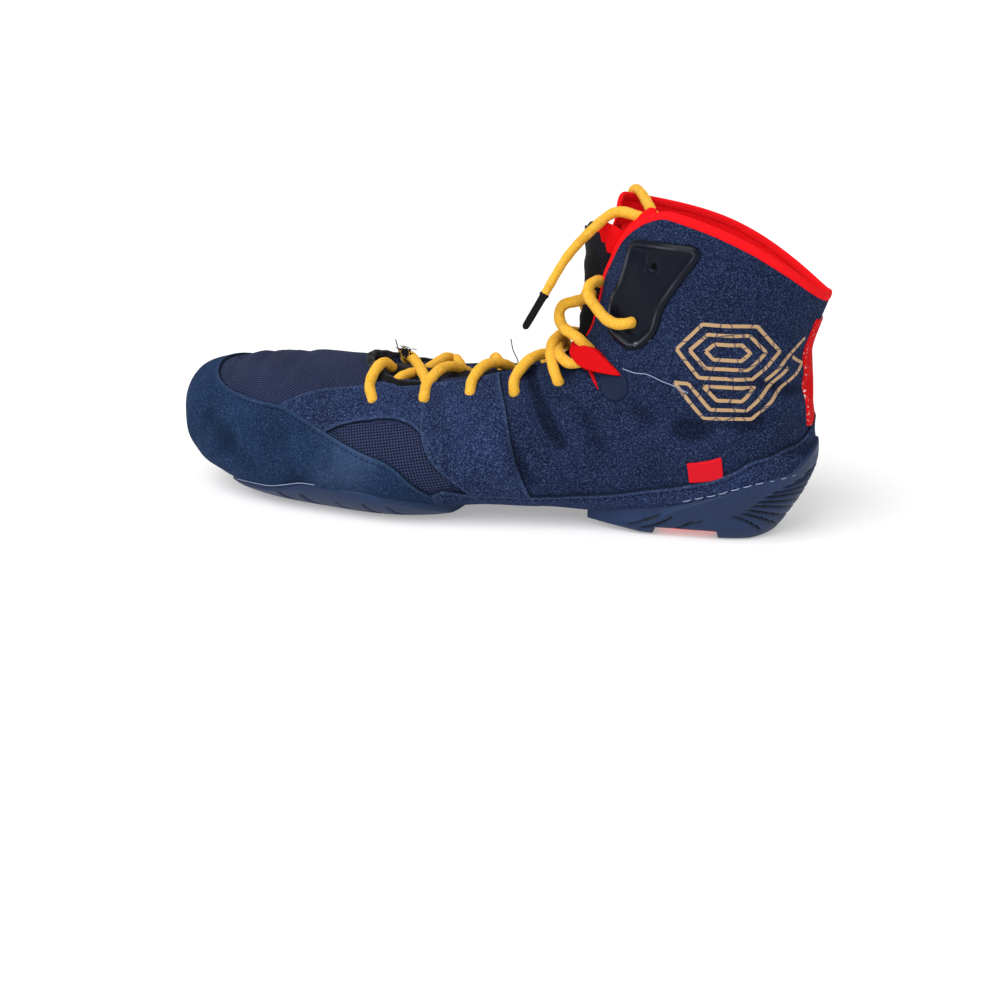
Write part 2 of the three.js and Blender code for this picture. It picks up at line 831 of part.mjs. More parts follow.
function tonguePoint(s, share, depth) {
  const reach = (share * TONGUE_WIDTH) / 2;
  const girth = outlineAt(s).girth;
  const under = -WALL - 2.8 * CLEARANCE;
  const free = Math.max(throatShare(s) * girth - BINDING_HEIGHT - 6 * CLEARANCE, 1.5);
  const lift = Math.abs(reach) < free ? Math.cos((Math.PI / 2) * (reach / free)) ** 2 : 0;
  const rise = Math.max(lookUp(TONGUE_RISE, s) * BALL_WIDTH - under, 0);
  return offsetPoint(s, reach / girth, under + rise * lift - depth);
}

function tongueSolid() {
  const places = ROWS.filter((s) => s > 5 && s < 13.1).concat(13.25);
  const grid = (depth) =>
    places.map((s) =>
      Array.from({ length: TONGUE_COLUMNS + 1 }, (_, k) => {
        const share = (2 * k) / TONGUE_COLUMNS - 1;
        return tonguePoint(s, Math.sign(share) * Math.abs(share) ** 1.5, depth);
      }),
    );
  return sheetSolid(grid(0), grid(TONGUE_THICKNESS));
}

addPiece("tongue", tongueSolid(), COLOURS.black, 0.95);

// Laces: two runs that zigzag over the tongue and cross, with a bar at the toe end.
const LACE_LIFT = CLEARANCE + PANEL + 1.6 * CLEARANCE + LACE_WIDTH / 2;
const LACED = [
  // section, share of the half girth, then as shares of ball width: lift here, lift of the next crossing
  [...EYELETS[0], 0, 0],
  [...EYELETS[1], 0, 0],
  [...EYELETS[2], 0, 0],
  [...EYELETS[3], 0, 0],
  [...EYELETS[4], 0, 0.045],
  [9.45, 0.19, 0.014, 0.115],
  [11.05, 0.24, 0, 0],
];

function laceRun(firstSide, over) {
  const points = [];
  LACED.forEach(([s, q, here, lift], k) => {
    const side = k % 2 ? -firstSide : firstSide;
    points.push(offsetPoint(s, side * q, LACE_LIFT + here * BALL_WIDTH));
    if (k === LACED.length - 1) return;
    const [nextS, nextQ] = LACED[k + 1];
    for (const share of [0.3, 0.5, 0.7]) {
      const reach = mix(q, -nextQ, share) * side;
      const raise = Math.sin(Math.PI * share) ** 2 * (lift * BALL_WIDTH + over) + 0.6;
      points.push(offsetPoint(mix(s, nextS, share), reach, LACE_LIFT + raise));
    }
  });
  return tube(points, LACE_WIDTH, 42, 6);
}

const bar = tube(
  [-1, -0.5, 0, 0.5, 1].map((share) => offsetPoint(EYELETS[0][0], share * EYELETS[0][1], LACE_LIFT + 0.3)),
  LACE_WIDTH,
  6,
  6,
);
const crossings = laceRun(-1, 0.2).add(laceRun(1, 2.4)).add(bar);
addPiece("lace_crossings", crossings, COLOURS.lace, 0.85);

// The free ends, from inside the collar over its front.
const LACE_END = [
  [0.735, -0.17, 0.82],
  [0.75, -0.16, 0.885],
  [0.742, -0.135, 0.95],
  [0.712, -0.12, 0.979],
  [0.682, -0.102, 0.982],
  [0.654, -0.135, 0.935],
  [0.62, -0.19, 0.85],
  [0.5895, -0.215, 0.732],
].map(([x, y, z]) => new THREE.Vector3(x * LENGTH, y * BALL_WIDTH, z * COLLAR_HEIGHT));
const FAR_END = [
  [0.75, 0.14, 0.835],
  [0.764, 0.165, 0.915],
  [0.766, 0.203, 1.0],
  [0.754, 0.253, 1.063],
  [0.732, 0.32, 1.067],
  [0.712, 0.38, 1.02],
  [0.703, 0.41, 0.945],
].map(([x, y, z]) => new THREE.Vector3(x * LENGTH, y * BALL_WIDTH, z * COLLAR_HEIGHT));

addPiece("lace_end_lateral", tube(LACE_END, LACE_WIDTH, 20, 6), COLOURS.lace, 0.85, true);
addPiece("lace_end_medial", tube(FAR_END, LACE_WIDTH, 16, 6), COLOURS.lace, 0.85, true);

function agletSolid(path) {
  const [before, end] = [path.at(-2), path.at(-1)];
  const way = end.clone().sub(before).normalize();
  const start = end.clone().addScaledVector(way, CLEARANCE);
  const finish = end.clone().addScaledVector(way, AGLET_LENGTH);
  return tube([start, start.clone().lerp(finish, 0.5), finish], AGLET_WIDTH, 2, 10);
}

addPiece("aglet_lateral", agletSolid(LACE_END), COLOURS.black, 0.4, true);

// The frame's origin is on the floor under the middle of everything but the free laces.
const bounds = new THREE.Box3();
for (const piece of group.children) if (!trim.has(piece)) bounds.union(new THREE.Box3().setFromObject(piece));
group.position.set(-(bounds.min.x + bounds.max.x) / 2, -(bounds.min.y + bounds.max.y) / 2, -bounds.min.z);
group.updateMatrixWorld(true);

export default group;
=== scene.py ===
import math

import bpy
import numpy as np
from bpy.props import FloatProperty, FloatVectorProperty, PointerProperty
from mathutils import Matrix, Vector


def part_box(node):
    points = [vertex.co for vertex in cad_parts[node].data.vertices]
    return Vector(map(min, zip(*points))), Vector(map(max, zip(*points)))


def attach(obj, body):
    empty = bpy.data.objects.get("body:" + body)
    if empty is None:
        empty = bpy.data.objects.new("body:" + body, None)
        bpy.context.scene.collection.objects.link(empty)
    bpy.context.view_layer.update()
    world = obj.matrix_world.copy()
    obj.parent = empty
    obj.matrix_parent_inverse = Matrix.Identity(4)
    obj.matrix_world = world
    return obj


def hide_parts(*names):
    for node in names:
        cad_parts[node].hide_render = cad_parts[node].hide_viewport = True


bl_info = {
    "name": "Wrestling shoe",
    "version": (1, 0, 0),
    "blender": (4, 5, 0),
    "location": "View3D > Sidebar > Wrestling shoe",
    "description": "Sews the panels, soles, binding, tongue and laces over the shoe's solids",
    "category": "Object",
}

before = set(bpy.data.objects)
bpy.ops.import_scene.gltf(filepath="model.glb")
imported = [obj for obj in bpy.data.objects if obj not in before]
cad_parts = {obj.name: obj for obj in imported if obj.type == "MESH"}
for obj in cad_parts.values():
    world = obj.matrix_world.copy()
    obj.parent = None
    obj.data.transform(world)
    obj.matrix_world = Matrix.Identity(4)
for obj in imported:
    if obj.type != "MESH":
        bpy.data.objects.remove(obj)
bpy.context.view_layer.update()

# Real sizes in millimetres
LENGTH = 288.0
BALL_WIDTH = 98.0
COLLAR_HEIGHT = 137.5
WALL = 2.2
BINDING_HEIGHT = 4.0
BINDING_THICKNESS = 2.4
TONGUE_WIDTH = 46.0
TONGUE_THICKNESS = 2.4

# Sections of the form, fanned round the instep from the toe to the collar.
# Each has a top point and a low point in the side view, as shares of length and collar height.
# The half width, its swing to the inner side and the bow of the section are shares of ball width.
# The widest place is a share of the way up, and the next numbers are the roundness above and below it.
SECTIONS = (
    # top x, top z, low x, low z, half width, swing, widest, upper, lower, bow
    (-0.0035, 0.2618, -0.0035, 0.2618, 0, 0.0816, 0.5, 2, 2, 0),
    (0.0021, 0.3382, 0.0076, 0.1673, 0.1837, 0.0816, 0.46, 2, 2.2, 0),
    (0.0257, 0.3767, 0.0333, 0.1055, 0.3163, 0.0714, 0.42, 2, 2.5, 0),
    (0.0799, 0.4073, 0.0833, 0.0618, 0.4133, 0.051, 0.4, 1.95, 2.8, 0),
    (0.1597, 0.44, 0.1597, 0.0393, 0.4745, 0.0306, 0.38, 1.85, 3, 0),
    (0.2708, 0.4545, 0.2708, 0.0305, 0.5, 0.0102, 0.36, 1.75, 3, 0),
    (0.3889, 0.4509, 0.3819, 0.032, 0.4796, -0.0306, 0.36, 1.7, 3, 0),
    (0.5, 0.4618, 0.5208, 0.0407, 0.3929, -0.0408, 0.4, 1.8, 2.6, 0),
    (0.5833, 0.4945, 0.6597, 0.0407, 0.3571, -0.0204, 0.42, 1.9, 2.4, 0),
    (0.6302, 0.5527, 0.8056, 0.0407, 0.352, 0, 0.45, 2, 2.5, 0),
    (0.6493, 0.6327, 0.9306, 0.0582, 0.3571, 0, 0.5, 2, 2.3, 0.02),
    (0.658, 0.7273, 0.9931, 0.2182, 0.3622, 0, 0.52, 2, 2.1, 0.041),
    (0.6667, 0.8218, 0.9826, 0.4364, 0.3571, 0, 0.53, 2.1, 2.1, 0.071),
    (0.6823, 0.9164, 0.9757, 0.5964, 0.3622, 0, 0.54, 2.1, 2.05, 0.102),
    (0.7066, 1, 0.9965, 0.7527, 0.3673, 0, 0.55, 2.1, 2, 0.122),
)
TOP = len(SECTIONS) - 1
SCALES = np.array([LENGTH, COLLAR_HEIGHT] * 2 + [BALL_WIDTH] * 2 + [1, 1, 1, BALL_WIDTH])
TABLE = np.array(SECTIONS) * SCALES

# Half width of the throat opening along the sections, as a share of ball width.
THROAT = np.array(
    (
        (5.28, 0), (5.34, 0.06), (5.5, 0.12), (5.75, 0.165), (6.1, 0.165), (6.5, 0.125), (7, 0.085),
        (7.5, 0.06), (8.3, 0.055), (9, 0.07), (10, 0.1), (11, 0.12), (12, 0.14), (12.6, 0.165),
        (13.1, 0.195), (13.4, 0.22), (13.65, 0.25), (13.85, 0.29), (13.95, 0.32), (14, 0.35),
    )
)
THROAT_START = THROAT[0, 0]
# The inner side's flap reaches further over the throat at its top.
FAR_THROAT = np.vstack([
    THROAT[:12], [(12, 0.135), (12.6, 0.125), (13.1, 0.115), (13.4, 0.11), (13.65, 0.115), (13.85, 0.13),
                  (13.95, 0.15), (14, 0.19)],
])
# It leans forward by so many mm, about this share of the half girth, from this section up.
FAR_LEAN = 15.0
LEAN_MIDDLE, LEAN_SPREAD, LEAN_START = 0.18, 0.17, 12.0
# The soft collar has sagged between its flaps and its back, in mm: the inner side
# inward and down, the outer side down. It starts at a section and past a share.
FAR_SAG = (0.0, -4.0, -9.5)
NEAR_SAG = (0.0, 0.0, -3.4)
SAG_START, SAG_FLAP, SAG_ROUND = 10.5, 0.14, 0.84

# Creases: section and share of the half girth at both ends, side (0 is both), depth and width in mm
CREASES = (
    (7.75, 0.10, 8.15, 0.45, -1, 1.7, 3.6),
    (7.36, 0.36, 7.6, 0.60, -1, 0.8, 3.2),
    (8.6, 0.18, 8.75, 0.56, -1, 0.8, 4.5),
    (7.9, 0.10, 8.5, 0.50, 1, 1.3, 4.5),
    (10.2, 0.50, 11.3, 0.70, 0, 1.2, 4.2),
    (9.7, 0.36, 10.3, 0.56, 0, 0.7, 4.5),
    (11.75, 0.66, 12.3, 0.93, 0, 1.3, 3.8),
    (11.1, 0.80, 11.5, 1.0, 0, 0.8, 4.0),
    (12.5, 0.62, 12.8, 0.9, 0, 0.6, 5.0),
    (2.95, 0.0, 3.15, 0.20, 0, 0.8, 2.2),
    (3.5, -0.03, 3.75, 0.24, 0, 1.1, 2.6),
    (4.3, 0.0, 4.2, 0.22, 0, 0.7, 3.0),
    (2.9, 0.42, 3.9, 0.56, -1, 0.9, 7.0),
    (4.4, 0.45, 4.9, 0.74, 0, 0.7, 6.0),
    (5.5, 0.22, 5.62, 0.34, 0, 0.5, 2.4),
    (6.45, 0.20, 6.75, 0.60, 0, 0.4, 4.0),
)

# Eyelets on each side, from the toe: section and share of the half girth
EYELETS = ((5.58, 0.256), (6.25, 0.232), (6.83, 0.205), (7.5, 0.208), (8.35, 0.189))
PLATE_EYELET = (11.05, 0.24)

S_STEPS = 280
Q_STEPS = 192


def linear(hexed):
    """A web colour as scene-linear red, green and blue."""
    parts = [int(hexed[k:k + 2], 16) / 255 for k in (0, 2, 4)]
    return tuple(c / 12.92 if c <= 0.04045 else ((c + 0.055) / 1.055) ** 2.4 for c in parts)


def unit(vectors):
    return vectors / np.maximum(np.linalg.norm(vectors, axis=-1, keepdims=True), 1e-9)


# The form
def sections_at(s):
    """The sections' numbers at s, cubic through the table."""
    before = TABLE[1][[2, 3, 0, 1, 4, 5, 6, 7, 8, 9]].copy()
    before[4] *= -1
    rows = np.vstack([before, TABLE, 2 * TABLE[-1] - TABLE[-2]])
    k = np.clip(np.floor(s).astype(int), 0, TOP - 1)
    f = (s - k)[:, None]
    a, b, c, d = rows[k], rows[k + 1], rows[k + 2], rows[k + 3]
    return 0.5 * (2 * b + (c - a) * f + (2 * a - 5 * b + 4 * c - d) * f**2 + (3 * b - a - 3 * c + d) * f**3)


def build_form():
    """Places, normals, girths and walked lengths on a fine table of sections and shares of the girth."""
    stations = np.linspace(0, TOP, S_STEPS + 1)
    shares = np.linspace(-1, 1, Q_STEPS + 1)[:-1]
    turn = np.linspace(0, math.pi / 2, 97)
    places = np.empty((S_STEPS + 1, Q_STEPS, 3))
    girths = np.empty(S_STEPS + 1)
    for k, row in enumerate(sections_at(stations)):
        top_x, top_z, low_x, low_z, half, swing, widest, upper, lower, bow = row
        half = max(half, 0)
        cosine = np.clip(np.cos(turn), 0, 1)
        up = np.concatenate([
            widest + (1 - widest) * np.sin(turn[::-1]) ** (2 / upper),
            widest * (1 - np.sin(turn[1:]) ** (2 / lower)),
        ])
        out = np.concatenate([cosine[::-1] ** (2 / upper), cosine[1:] ** (2 / lower)])
        reach = max(math.hypot(top_x - low_x, top_z - low_z), 1e-6)
        walked = np.concatenate([[0], np.cumsum(np.hypot(np.diff(up) * reach, np.diff(out) * half))])
        girths[k] = walked[-1]
        share = walked / max(walked[-1], 1e-9)
        u = np.interp(np.abs(shares), share, up)
        o = np.interp(np.abs(shares), share, out)
        across = np.array([low_z - top_z, top_x - low_x])
        across = unit(-across if across[1] < 0 else across)
        push = bow * 4 * u * (1 - u)
        places[k, :, 0] = low_x + (top_x - low_x) * u + across[0] * push
        places[k, :, 1] = swing + np.sign(shares) * half * o
        places[k, :, 2] = low_z + (top_z - low_z) * u + across[1] * push
    along = np.gradient(places, axis=0)
    around = np.roll(places, -1, axis=1) - np.roll(places, 1, axis=1)
    normals = unit(np.cross(around, along))
    middle = places.mean(axis=1, keepdims=True)
    normals *= np.where(((places - middle) * normals).sum(-1, keepdims=True) < 0, -1, 1)
    normals[0] = (-1, 0, 0)
    walk = np.linalg.norm(np.diff(places[:, int(Q_STEPS * 0.33)], axis=0), axis=1)
    return places, normals, girths, np.concatenate([[0], np.cumsum(walk)])


def guarded(table):
    """The table with a row before the tip and one past the collar, for cubic reading."""
    before = np.roll(table[1], Q_STEPS // 2, axis=0)
    return np.concatenate([before[None], table, 2 * table[-1:] - table[-2:-1]])


def cubic_weights(f):
    return (
        0.5 * (-f + 2 * f**2 - f**3),
        0.5 * (2 - 5 * f**2 + 3 * f**3),
        0.5 * (f + 4 * f**2 - 3 * f**3),
        0.5 * (f**3 - f**2),
    )


def read(table, s, q):
    """A table's value at sections s and shares q, cubic both ways; q runs round past 1 to the other side."""
    x = np.clip(s, 0, TOP) / TOP * S_STEPS
    i = np.minimum(np.floor(x).astype(int), S_STEPS - 1)
    y = (np.asarray(q) + 1) / 2 * Q_STEPS
    j = np.floor(y).astype(int)
    total = 0
    for a, across in enumerate(cubic_weights(x - i)):
        for b, around in enumerate(cubic_weights(y - j)):
            total = total + (across * around)[..., None] * table[i + a, (j + b - 1) % Q_STEPS]
    return total


PLACES, NORMALS, GIRTHS, WALKED = build_form()
PLACES, NORMALS = guarded(PLACES), guarded(NORMALS)
STATIONS = np.linspace(0, TOP, S_STEPS + 1)


def girth_at(s):
    return np.interp(s, STATIONS, GIRTHS)


def flat_place(s, q):
    """Where a place lies on the flat pattern, in mm: walked length, and girth from the top line."""
    return np.stack([np.interp(s, STATIONS, WALKED) + 0 * q, q * girth_at(s)], -1)


def throat_share(s, side=-1):
    table = THROAT if side < 0 else FAR_THROAT
    half = np.interp(s, table[:, 0], table[:, 1]) * BALL_WIDTH
    return np.where(s <= THROAT_START, 0, half / np.maximum(girth_at(s), 1e-6))


def relief(s, q):
    """The creases and slack of a worn upper, in mm outward."""
    s, q = np.broadcast_arrays(np.asarray(s, float), np.asarray(q, float))
    q = (q + 1) % 2 - 1
    here = flat_place(s, q)
    total = 0.22 * np.sin(here[..., 0] / 7.3 + here[..., 1] / 11) * np.sin(here[..., 1] / 8.1 - 0.6)
    total = total + 0.18 * np.sin(here[..., 0] / 4.1 - here[..., 1] / 6.7 + 1.1)
    for s0, q0, s1, q1, side, depth, width in CREASES:
        for sign in (-1, 1):
            if side not in (0, sign):
                continue
            start = flat_place(np.array(s0), np.array(sign * q0))
            end = flat_place(np.array(s1), np.array(sign * q1))
            way = end - start
            share = np.clip(((here - start) @ way) / (way @ way), 0, 1)
            off = np.linalg.norm(here - start - share[..., None] * way, axis=-1)
            total = total - depth * np.exp(-((off / width) ** 2))
            total = total + 0.4 * depth * np.exp(-(((off - 1.9 * width) / width) ** 2))
    fade = np.clip(np.minimum(s / 1.5, (TOP - s) / 0.7), 0, 1)
    return total * fade


def slumped(s, q):
    """How far the worn collar has moved: its inner flap forward, its sides down."""
    q = (q + 1) % 2 - 1
    lean = np.clip((s - LEAN_START) / (TOP - LEAN_START), 0, 1) ** 1.5
    lean = lean * np.exp(-(((q - LEAN_MIDDLE) / LEAN_SPREAD) ** 2))
    up = np.clip((s - SAG_START) / (TOP - SAG_START), 0, 1)
    around = np.sin(np.pi * np.clip((np.abs(q) - SAG_FLAP) / SAG_ROUND, 0, 1) ** 1.1)
    sag = (up * up * (3 - 2 * up) * around)[..., None] * np.where((q > 0)[..., None], FAR_SAG, NEAR_SAG)
    return sag - lean[..., None] * (FAR_LEAN, 0, 0)


def surface(s, q, height=0.0, worn=True):
    """Places on the upper at a height over its outer face, with its creases."""
    s, q = np.broadcast_arrays(np.asarray(s, float), np.asarray(q, float))
    rise = np.asarray(height) + (relief(s, q) if worn else 0)
    places = read(PLACES, s, q) + unit(read(NORMALS, s, q)) * np.broadcast_to(rise, s.shape)[..., None]
    return places + slumped(s, q)


def to_row(points):
    """From the pattern's millimetres to the row frame in metres."""
    return (np.asarray(points, float) - ORIGIN) * 0.001


def row_shift():
    low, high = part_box("upper")
    form = surface(STATIONS[:, None], np.linspace(-1, 1, 97)[None], 0, worn=False)
    form = form.reshape(-1, 3)
    middle = (form.min(0) + form.max(0)) / 2
    centre = np.array((low + high) / 2) * 1000
    return np.array([middle[0] - centre[0], middle[1] - centre[1], 0])


ORIGIN = row_shift()


# Curves and patches on the pattern
def spline(points, count, scale=(20.0, 95.0)):
    """Evenly spaced places on a smooth curve through the points."""
    points = np.asarray(points, float)
    if len(points) == 2:
        return points[0] + np.linspace(0, 1, count)[:, None] * (points[1] - points[0])
    padded = np.vstack([2 * points[0] - points[1], points, 2 * points[-1] - points[-2]])
    fine = []
    for k in range(len(points) - 1):
        f = np.linspace(0, 1, 24, endpoint=False)
        fine.append(sum(w[:, None] * padded[k + n] for n, w in enumerate(cubic_weights(f))))
    fine = np.vstack(fine + [points[-1:]])
    weights = np.ones(fine.shape[1])
    weights[:min(len(scale), fine.shape[1])] = scale[:fine.shape[1]] if fine.shape[1] == 2 else 1
    walked = np.concatenate([[0], np.cumsum(np.linalg.norm(np.diff(fine, axis=0) * weights, axis=1))])
    at = np.linspace(0, walked[-1], count)
    return np.stack([np.interp(at, walked, fine[:, c]) for c in range(fine.shape[1])], -1)


def graded(length, pitch, close=(0.25, 0.6, 1.1)):
    """Shares from 0 to 1 at a pitch in mm, with rows close to both ends for a rounded edge."""
    inner = np.linspace(0, 1, max(int(length / pitch), 4))[1:-1]
    near = np.array([d / length for d in close if d / length < 0.3])
    inner = inner[(inner > near[-1] * 1.4) & (inner < 1 - near[-1] * 1.4)]
    return np.concatenate([[0], near, inner, 1 - near[::-1], [1]])


def coons(lower, upper, pitch, left=None, right=None):
    """A patch between two long edges, and two short ones if they aren't straight, as section and share."""
    low, high = spline(lower, 240), spline(upper, 240)
    first = spline(left if left is not None else (low[0], high[0]), 120)
    last = spline(right if right is not None else (low[-1], high[-1]), 120)
    length = np.linalg.norm(np.diff(surface(low[:, 0], low[:, 1]), axis=0), axis=1).sum()
    length = max(length, np.linalg.norm(np.diff(surface(high[:, 0], high[:, 1]), axis=0), axis=1).sum())
    middle = low[120] + np.linspace(0, 1, 60)[:, None] * (high[120] - low[120])
    breadth = np.linalg.norm(np.diff(surface(middle[:, 0], middle[:, 1]), axis=0), axis=1).sum()
    u, v = graded(length, pitch), graded(max(breadth, 4), pitch)
    pick = lambda curve, at: np.stack([np.interp(at, np.linspace(0, 1, len(curve)), curve[:, c]) for c in (0, 1)], -1)
    lows, highs, firsts, lasts = pick(low, u), pick(high, u), pick(first, v), pick(last, v)
    uu, vv = u[None, :, None], v[:, None, None]
    ruled = (1 - vv) * lows[None] + vv * highs[None]
    sides = (1 - uu) * firsts[:, None] + uu * lasts[:, None]
    corners = (
        (1 - uu) * (1 - vv) * low[0] + uu * (1 - vv) * low[-1] + (1 - uu) * vv * high[0] + uu * vv * high[-1]
    )
    return ruled + sides - corners


def edge_distance(places, edge):
    """Each place's distance from the nearest place on the edge."""
    flat = places.reshape(-1, 3)
    out = np.empty(len(flat))
    for k in range(0, len(flat), 1500):
        part = flat[k:k + 1500]
        out[k:k + 1500] = np.sqrt(((part[:, None] - edge[None]) ** 2).sum(-1).min(1))
    return out.reshape(places.shape[:-1])


def border(grid):
    return np.concatenate([grid[0], grid[:, -1], grid[-1][::-1], grid[:, 0][::-1]])


def thicker(points, per=4):
    """The same line with more places on it."""
    steps = np.linspace(0, 1, per, endpoint=False)[None, :, None]
    return (points[:-1, None] + steps * (points[1:] - points[:-1])[:, None]).reshape(-1, points.shape[-1])


def from_side(side, points, height=0.5):
    """Sections and shares whose places lie at x and z in the side view, on one side."""
    goal = np.array(points, float)
    s, q = np.meshgrid(np.linspace(5, 14, 90), np.linspace(0.05, 0.97, 70), indexing="ij")
    places = surface(s, side * q, height, worn=False)
    off = (places[..., 0, None] - goal[:, 0]) ** 2 + (places[..., 2, None] - goal[:, 1]) ** 2
    start = off.reshape(-1, len(goal)).argmin(0)
    at = np.stack([s.ravel()[start], q.ravel()[start]], -1)

    def seen(shift_s, shift_q):
        return surface(at[:, 0] + shift_s, side * (at[:, 1] + shift_q), height, worn=False)[:, [0, 2]]

    for _ in range(6):
        base = seen(0, 0)
        ds, dq = (seen(0.01, 0) - base) / 0.01, (seen(0, 0.002) - base) / 0.002
        miss = goal - base
        det = ds[:, 0] * dq[:, 1] - ds[:, 1] * dq[:, 0]
        at[:, 0] += np.clip((miss[:, 0] * dq[:, 1] - miss[:, 1] * dq[:, 0]) / det, -0.2, 0.2)
        at[:, 1] += np.clip((ds[:, 0] * miss[:, 1] - ds[:, 1] * miss[:, 0]) / det, -0.03, 0.03)
    return np.stack([at[:, 0], side * at[:, 1]], -1)


# Meshes
def deselect():
    bpy.ops.object.select_all(action="DESELECT")


def grid_piece(name, places, flat=None, edge=None, dropped=None, slots=None, angle=50, fold=None):
    """A grid primitive with its corners moved to places, closed where its edges meet."""
    rows, columns = places.shape[:2]
    deselect()
    bpy.ops.mesh.primitive_grid_add(x_subdivisions=columns - 1, y_subdivisions=rows - 1, size=1)
    piece = bpy.context.active_object
    piece.name = piece.data.name = name
    mesh = piece.data
    mesh.vertices.foreach_set("co", to_row(places).astype(np.float32).ravel())
    if flat is not None:
        layer = mesh.uv_layers[0]
        layer.name = "flat"
        corners = np.empty(len(mesh.loops), int)
        mesh.loops.foreach_get("vertex_index", corners)
        layer.data.foreach_set("uv", flat.reshape(-1, 2)[corners].astype(np.float32).ravel())
    for key, table in (("edge", edge), ("fold", fold)):
        if table is not None:
            values = mesh.attributes.new(key, "FLOAT", "POINT")
            values.data.foreach_set("value", table.astype(np.float32).ravel())
    if slots is not None:
        mesh.polygons.foreach_set("material_index", slots.astype(np.int32).ravel())
    if dropped is not None and dropped.any():
        mesh.vertices.foreach_set("select", np.zeros(len(mesh.vertices), bool))
        mesh.edges.foreach_set("select", np.zeros(len(mesh.edges), bool))
        mesh.polygons.foreach_set("select", dropped.ravel())
    bpy.ops.object.mode_set(mode="EDIT")
    if dropped is not None and dropped.any():
        bpy.ops.mesh.select_mode(type="FACE")
        bpy.ops.mesh.delete(type="FACE")
    bpy.ops.mesh.select_mode(type="VERT")
    bpy.ops.mesh.select_all(action="SELECT")
    bpy.ops.mesh.remove_doubles(threshold=1e-5)
    bpy.ops.mesh.normals_make_consistent(inside=False)
    bpy.ops.object.mode_set(mode="OBJECT")
    bpy.ops.object.shade_smooth_by_angle(angle=math.radians(angle))
    return piece


def wrapped(outer, inner):
    """Two sheets as one closed skin: rows round both, and both ends drawn together."""
    ring = np.concatenate([outer, inner[:, ::-1], outer[:, :1]], axis=1)
    middle = (outer + inner) / 2

    def cap(k):
        return np.concatenate([middle[k], middle[k][::-1], middle[k][:1]])[None]

    return np.concatenate([cap(0), ring, cap(-1)])


def wrapped_values(values):
    ring = np.concatenate([values, values[:, ::-1], values[:, :1]], axis=1)
    return np.concatenate([ring[:1], ring, ring[-1:]])


def rounded(distance, thickness, radius=0.8):
    near = np.clip(distance / radius, 0, 1)
    return thickness * np.sqrt(1 - (1 - near) ** 2)


def panel(name, grid, thickness, finish, extra=None, radius=0.8, depth=0.35, angle=60):
    """A panel on the upper from its grid of sections and shares, with a rounded edge."""
    s, q = grid[..., 0], grid[..., 1]
    ground = surface(s, q)
    distance = edge_distance(ground, thicker(border(ground)))
    height = rounded(distance, thickness, radius)
    if extra is not None:
        height = height + extra(s, q, distance)
    outer = surface(s, q, height)
    inner = surface(s, q, -depth * np.clip(distance / 0.6, 0, 1))
    # The fold attribute carries the creases' depth, which the suede finishes turn into painted shade.
    piece = grid_piece(
        name, wrapped(outer, inner), wrapped_values(flat_place(s, q)), wrapped_values(distance), angle=angle,
        fold=wrapped_values(relief(s, q)),
    )
    piece.data.materials.append(finish)
    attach(piece, "root")
    return piece


def polar_grid(loop, rings, centre=None, count=96):
    """A round grid inside a closed outline, closer toward the edge."""
    loop = spline(list(loop) + [loop[0]], count + 1)
    loop[-1] = loop[0]
    centre = loop[:-1].mean(0) if centre is None else np.asarray(centre, float)
    steps = np.concatenate([np.linspace(0, 0.86, rings), [0.91, 0.945, 0.97, 0.985, 1.0]])
    return centre + steps[:, None, None] * (loop - centre)[None]


def plaque(name, loop, thickness, finish, extra=None, rings=16, radius=0.6, count=120, base=0.0, angle=60):
    """A small plate on the upper from its outline, with a rounded edge."""
    grid = polar_grid(loop, rings, count=count)
    s, q = grid[..., 0], grid[..., 1]
    ground = surface(s, q)
    distance = edge_distance(ground, thicker(ground[-1]))
    height = base + rounded(distance, thickness, radius)
    if extra is not None:
        height = height + extra(s, q, distance)
    outer = surface(s, q, height)
    inner = surface(s, q, base - 0.4 * np.clip(distance / 0.6, 0, 1))
    places = np.concatenate([outer, inner[::-1]])
    flat = np.concatenate([flat_place(s, q), flat_place(s, q)[::-1]])
    piece = grid_piece(name, places, flat, np.concatenate([distance, distance[::-1]]), angle=angle)
    piece.data.materials.append(finish)
    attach(piece, "root")
    return piece


def frames_along(path):
    """Directions along a path, and two across it that never spin."""
    along = unit(np.gradient(path, axis=0))
    first = np.cross(along[0], (0, 0, 1))
    if np.linalg.norm(first) < 0.1:
        first = np.cross(along[0], (0, 1, 0))
    side = unit(first)
    sides = []
    for way in along:
        side = unit(side - way * (side @ way))
        sides.append(side)
    sides = np.array(sides)
    return along, sides, np.cross(along, sides)


def cord_places(path, radius, around=18, flatten=1.0, blunt=True):
    """Rings round a path, with ends drawn in, and the cord's own lengths in mm."""
    along, sides, ups = frames_along(path)
    turn = np.linspace(0, 2 * math.pi, around + 1)
    ring = np.cos(turn)[None, :, None] * sides[:, None] + flatten * np.sin(turn)[None, :, None] * ups[:, None]
    radii = np.full(len(path), radius) if np.isscalar(radius) else np.asarray(radius)
    places = path[:, None] + radii[:, None, None] * ring
    walked = np.concatenate([[0], np.cumsum(np.linalg.norm(np.diff(path, axis=0), axis=1))])
    ends = 0.55 if blunt else 0.0
    first = path[0] - along[0] * radii[0] * 0.35 + ring[:1] * radii[0] * ends
    last = path[-1] + along[-1] * radii[-1] * 0.35 + ring[-1:] * radii[-1] * ends
    tip = np.repeat((path[0] - along[0] * radii[0] * 0.45)[None, None], around + 1, 1)
    tail = np.repeat((path[-1] + along[-1] * radii[-1] * 0.45)[None, None], around + 1, 1)
    places = np.concatenate([tip, first, places, last, tail])
    lengths = np.concatenate([[walked[0]] * 2, walked, [walked[-1]] * 2])
    flat = np.stack(np.broadcast_arrays(lengths[:, None], (turn / (2 * math.pi))[None]), -1)
    return places, flat


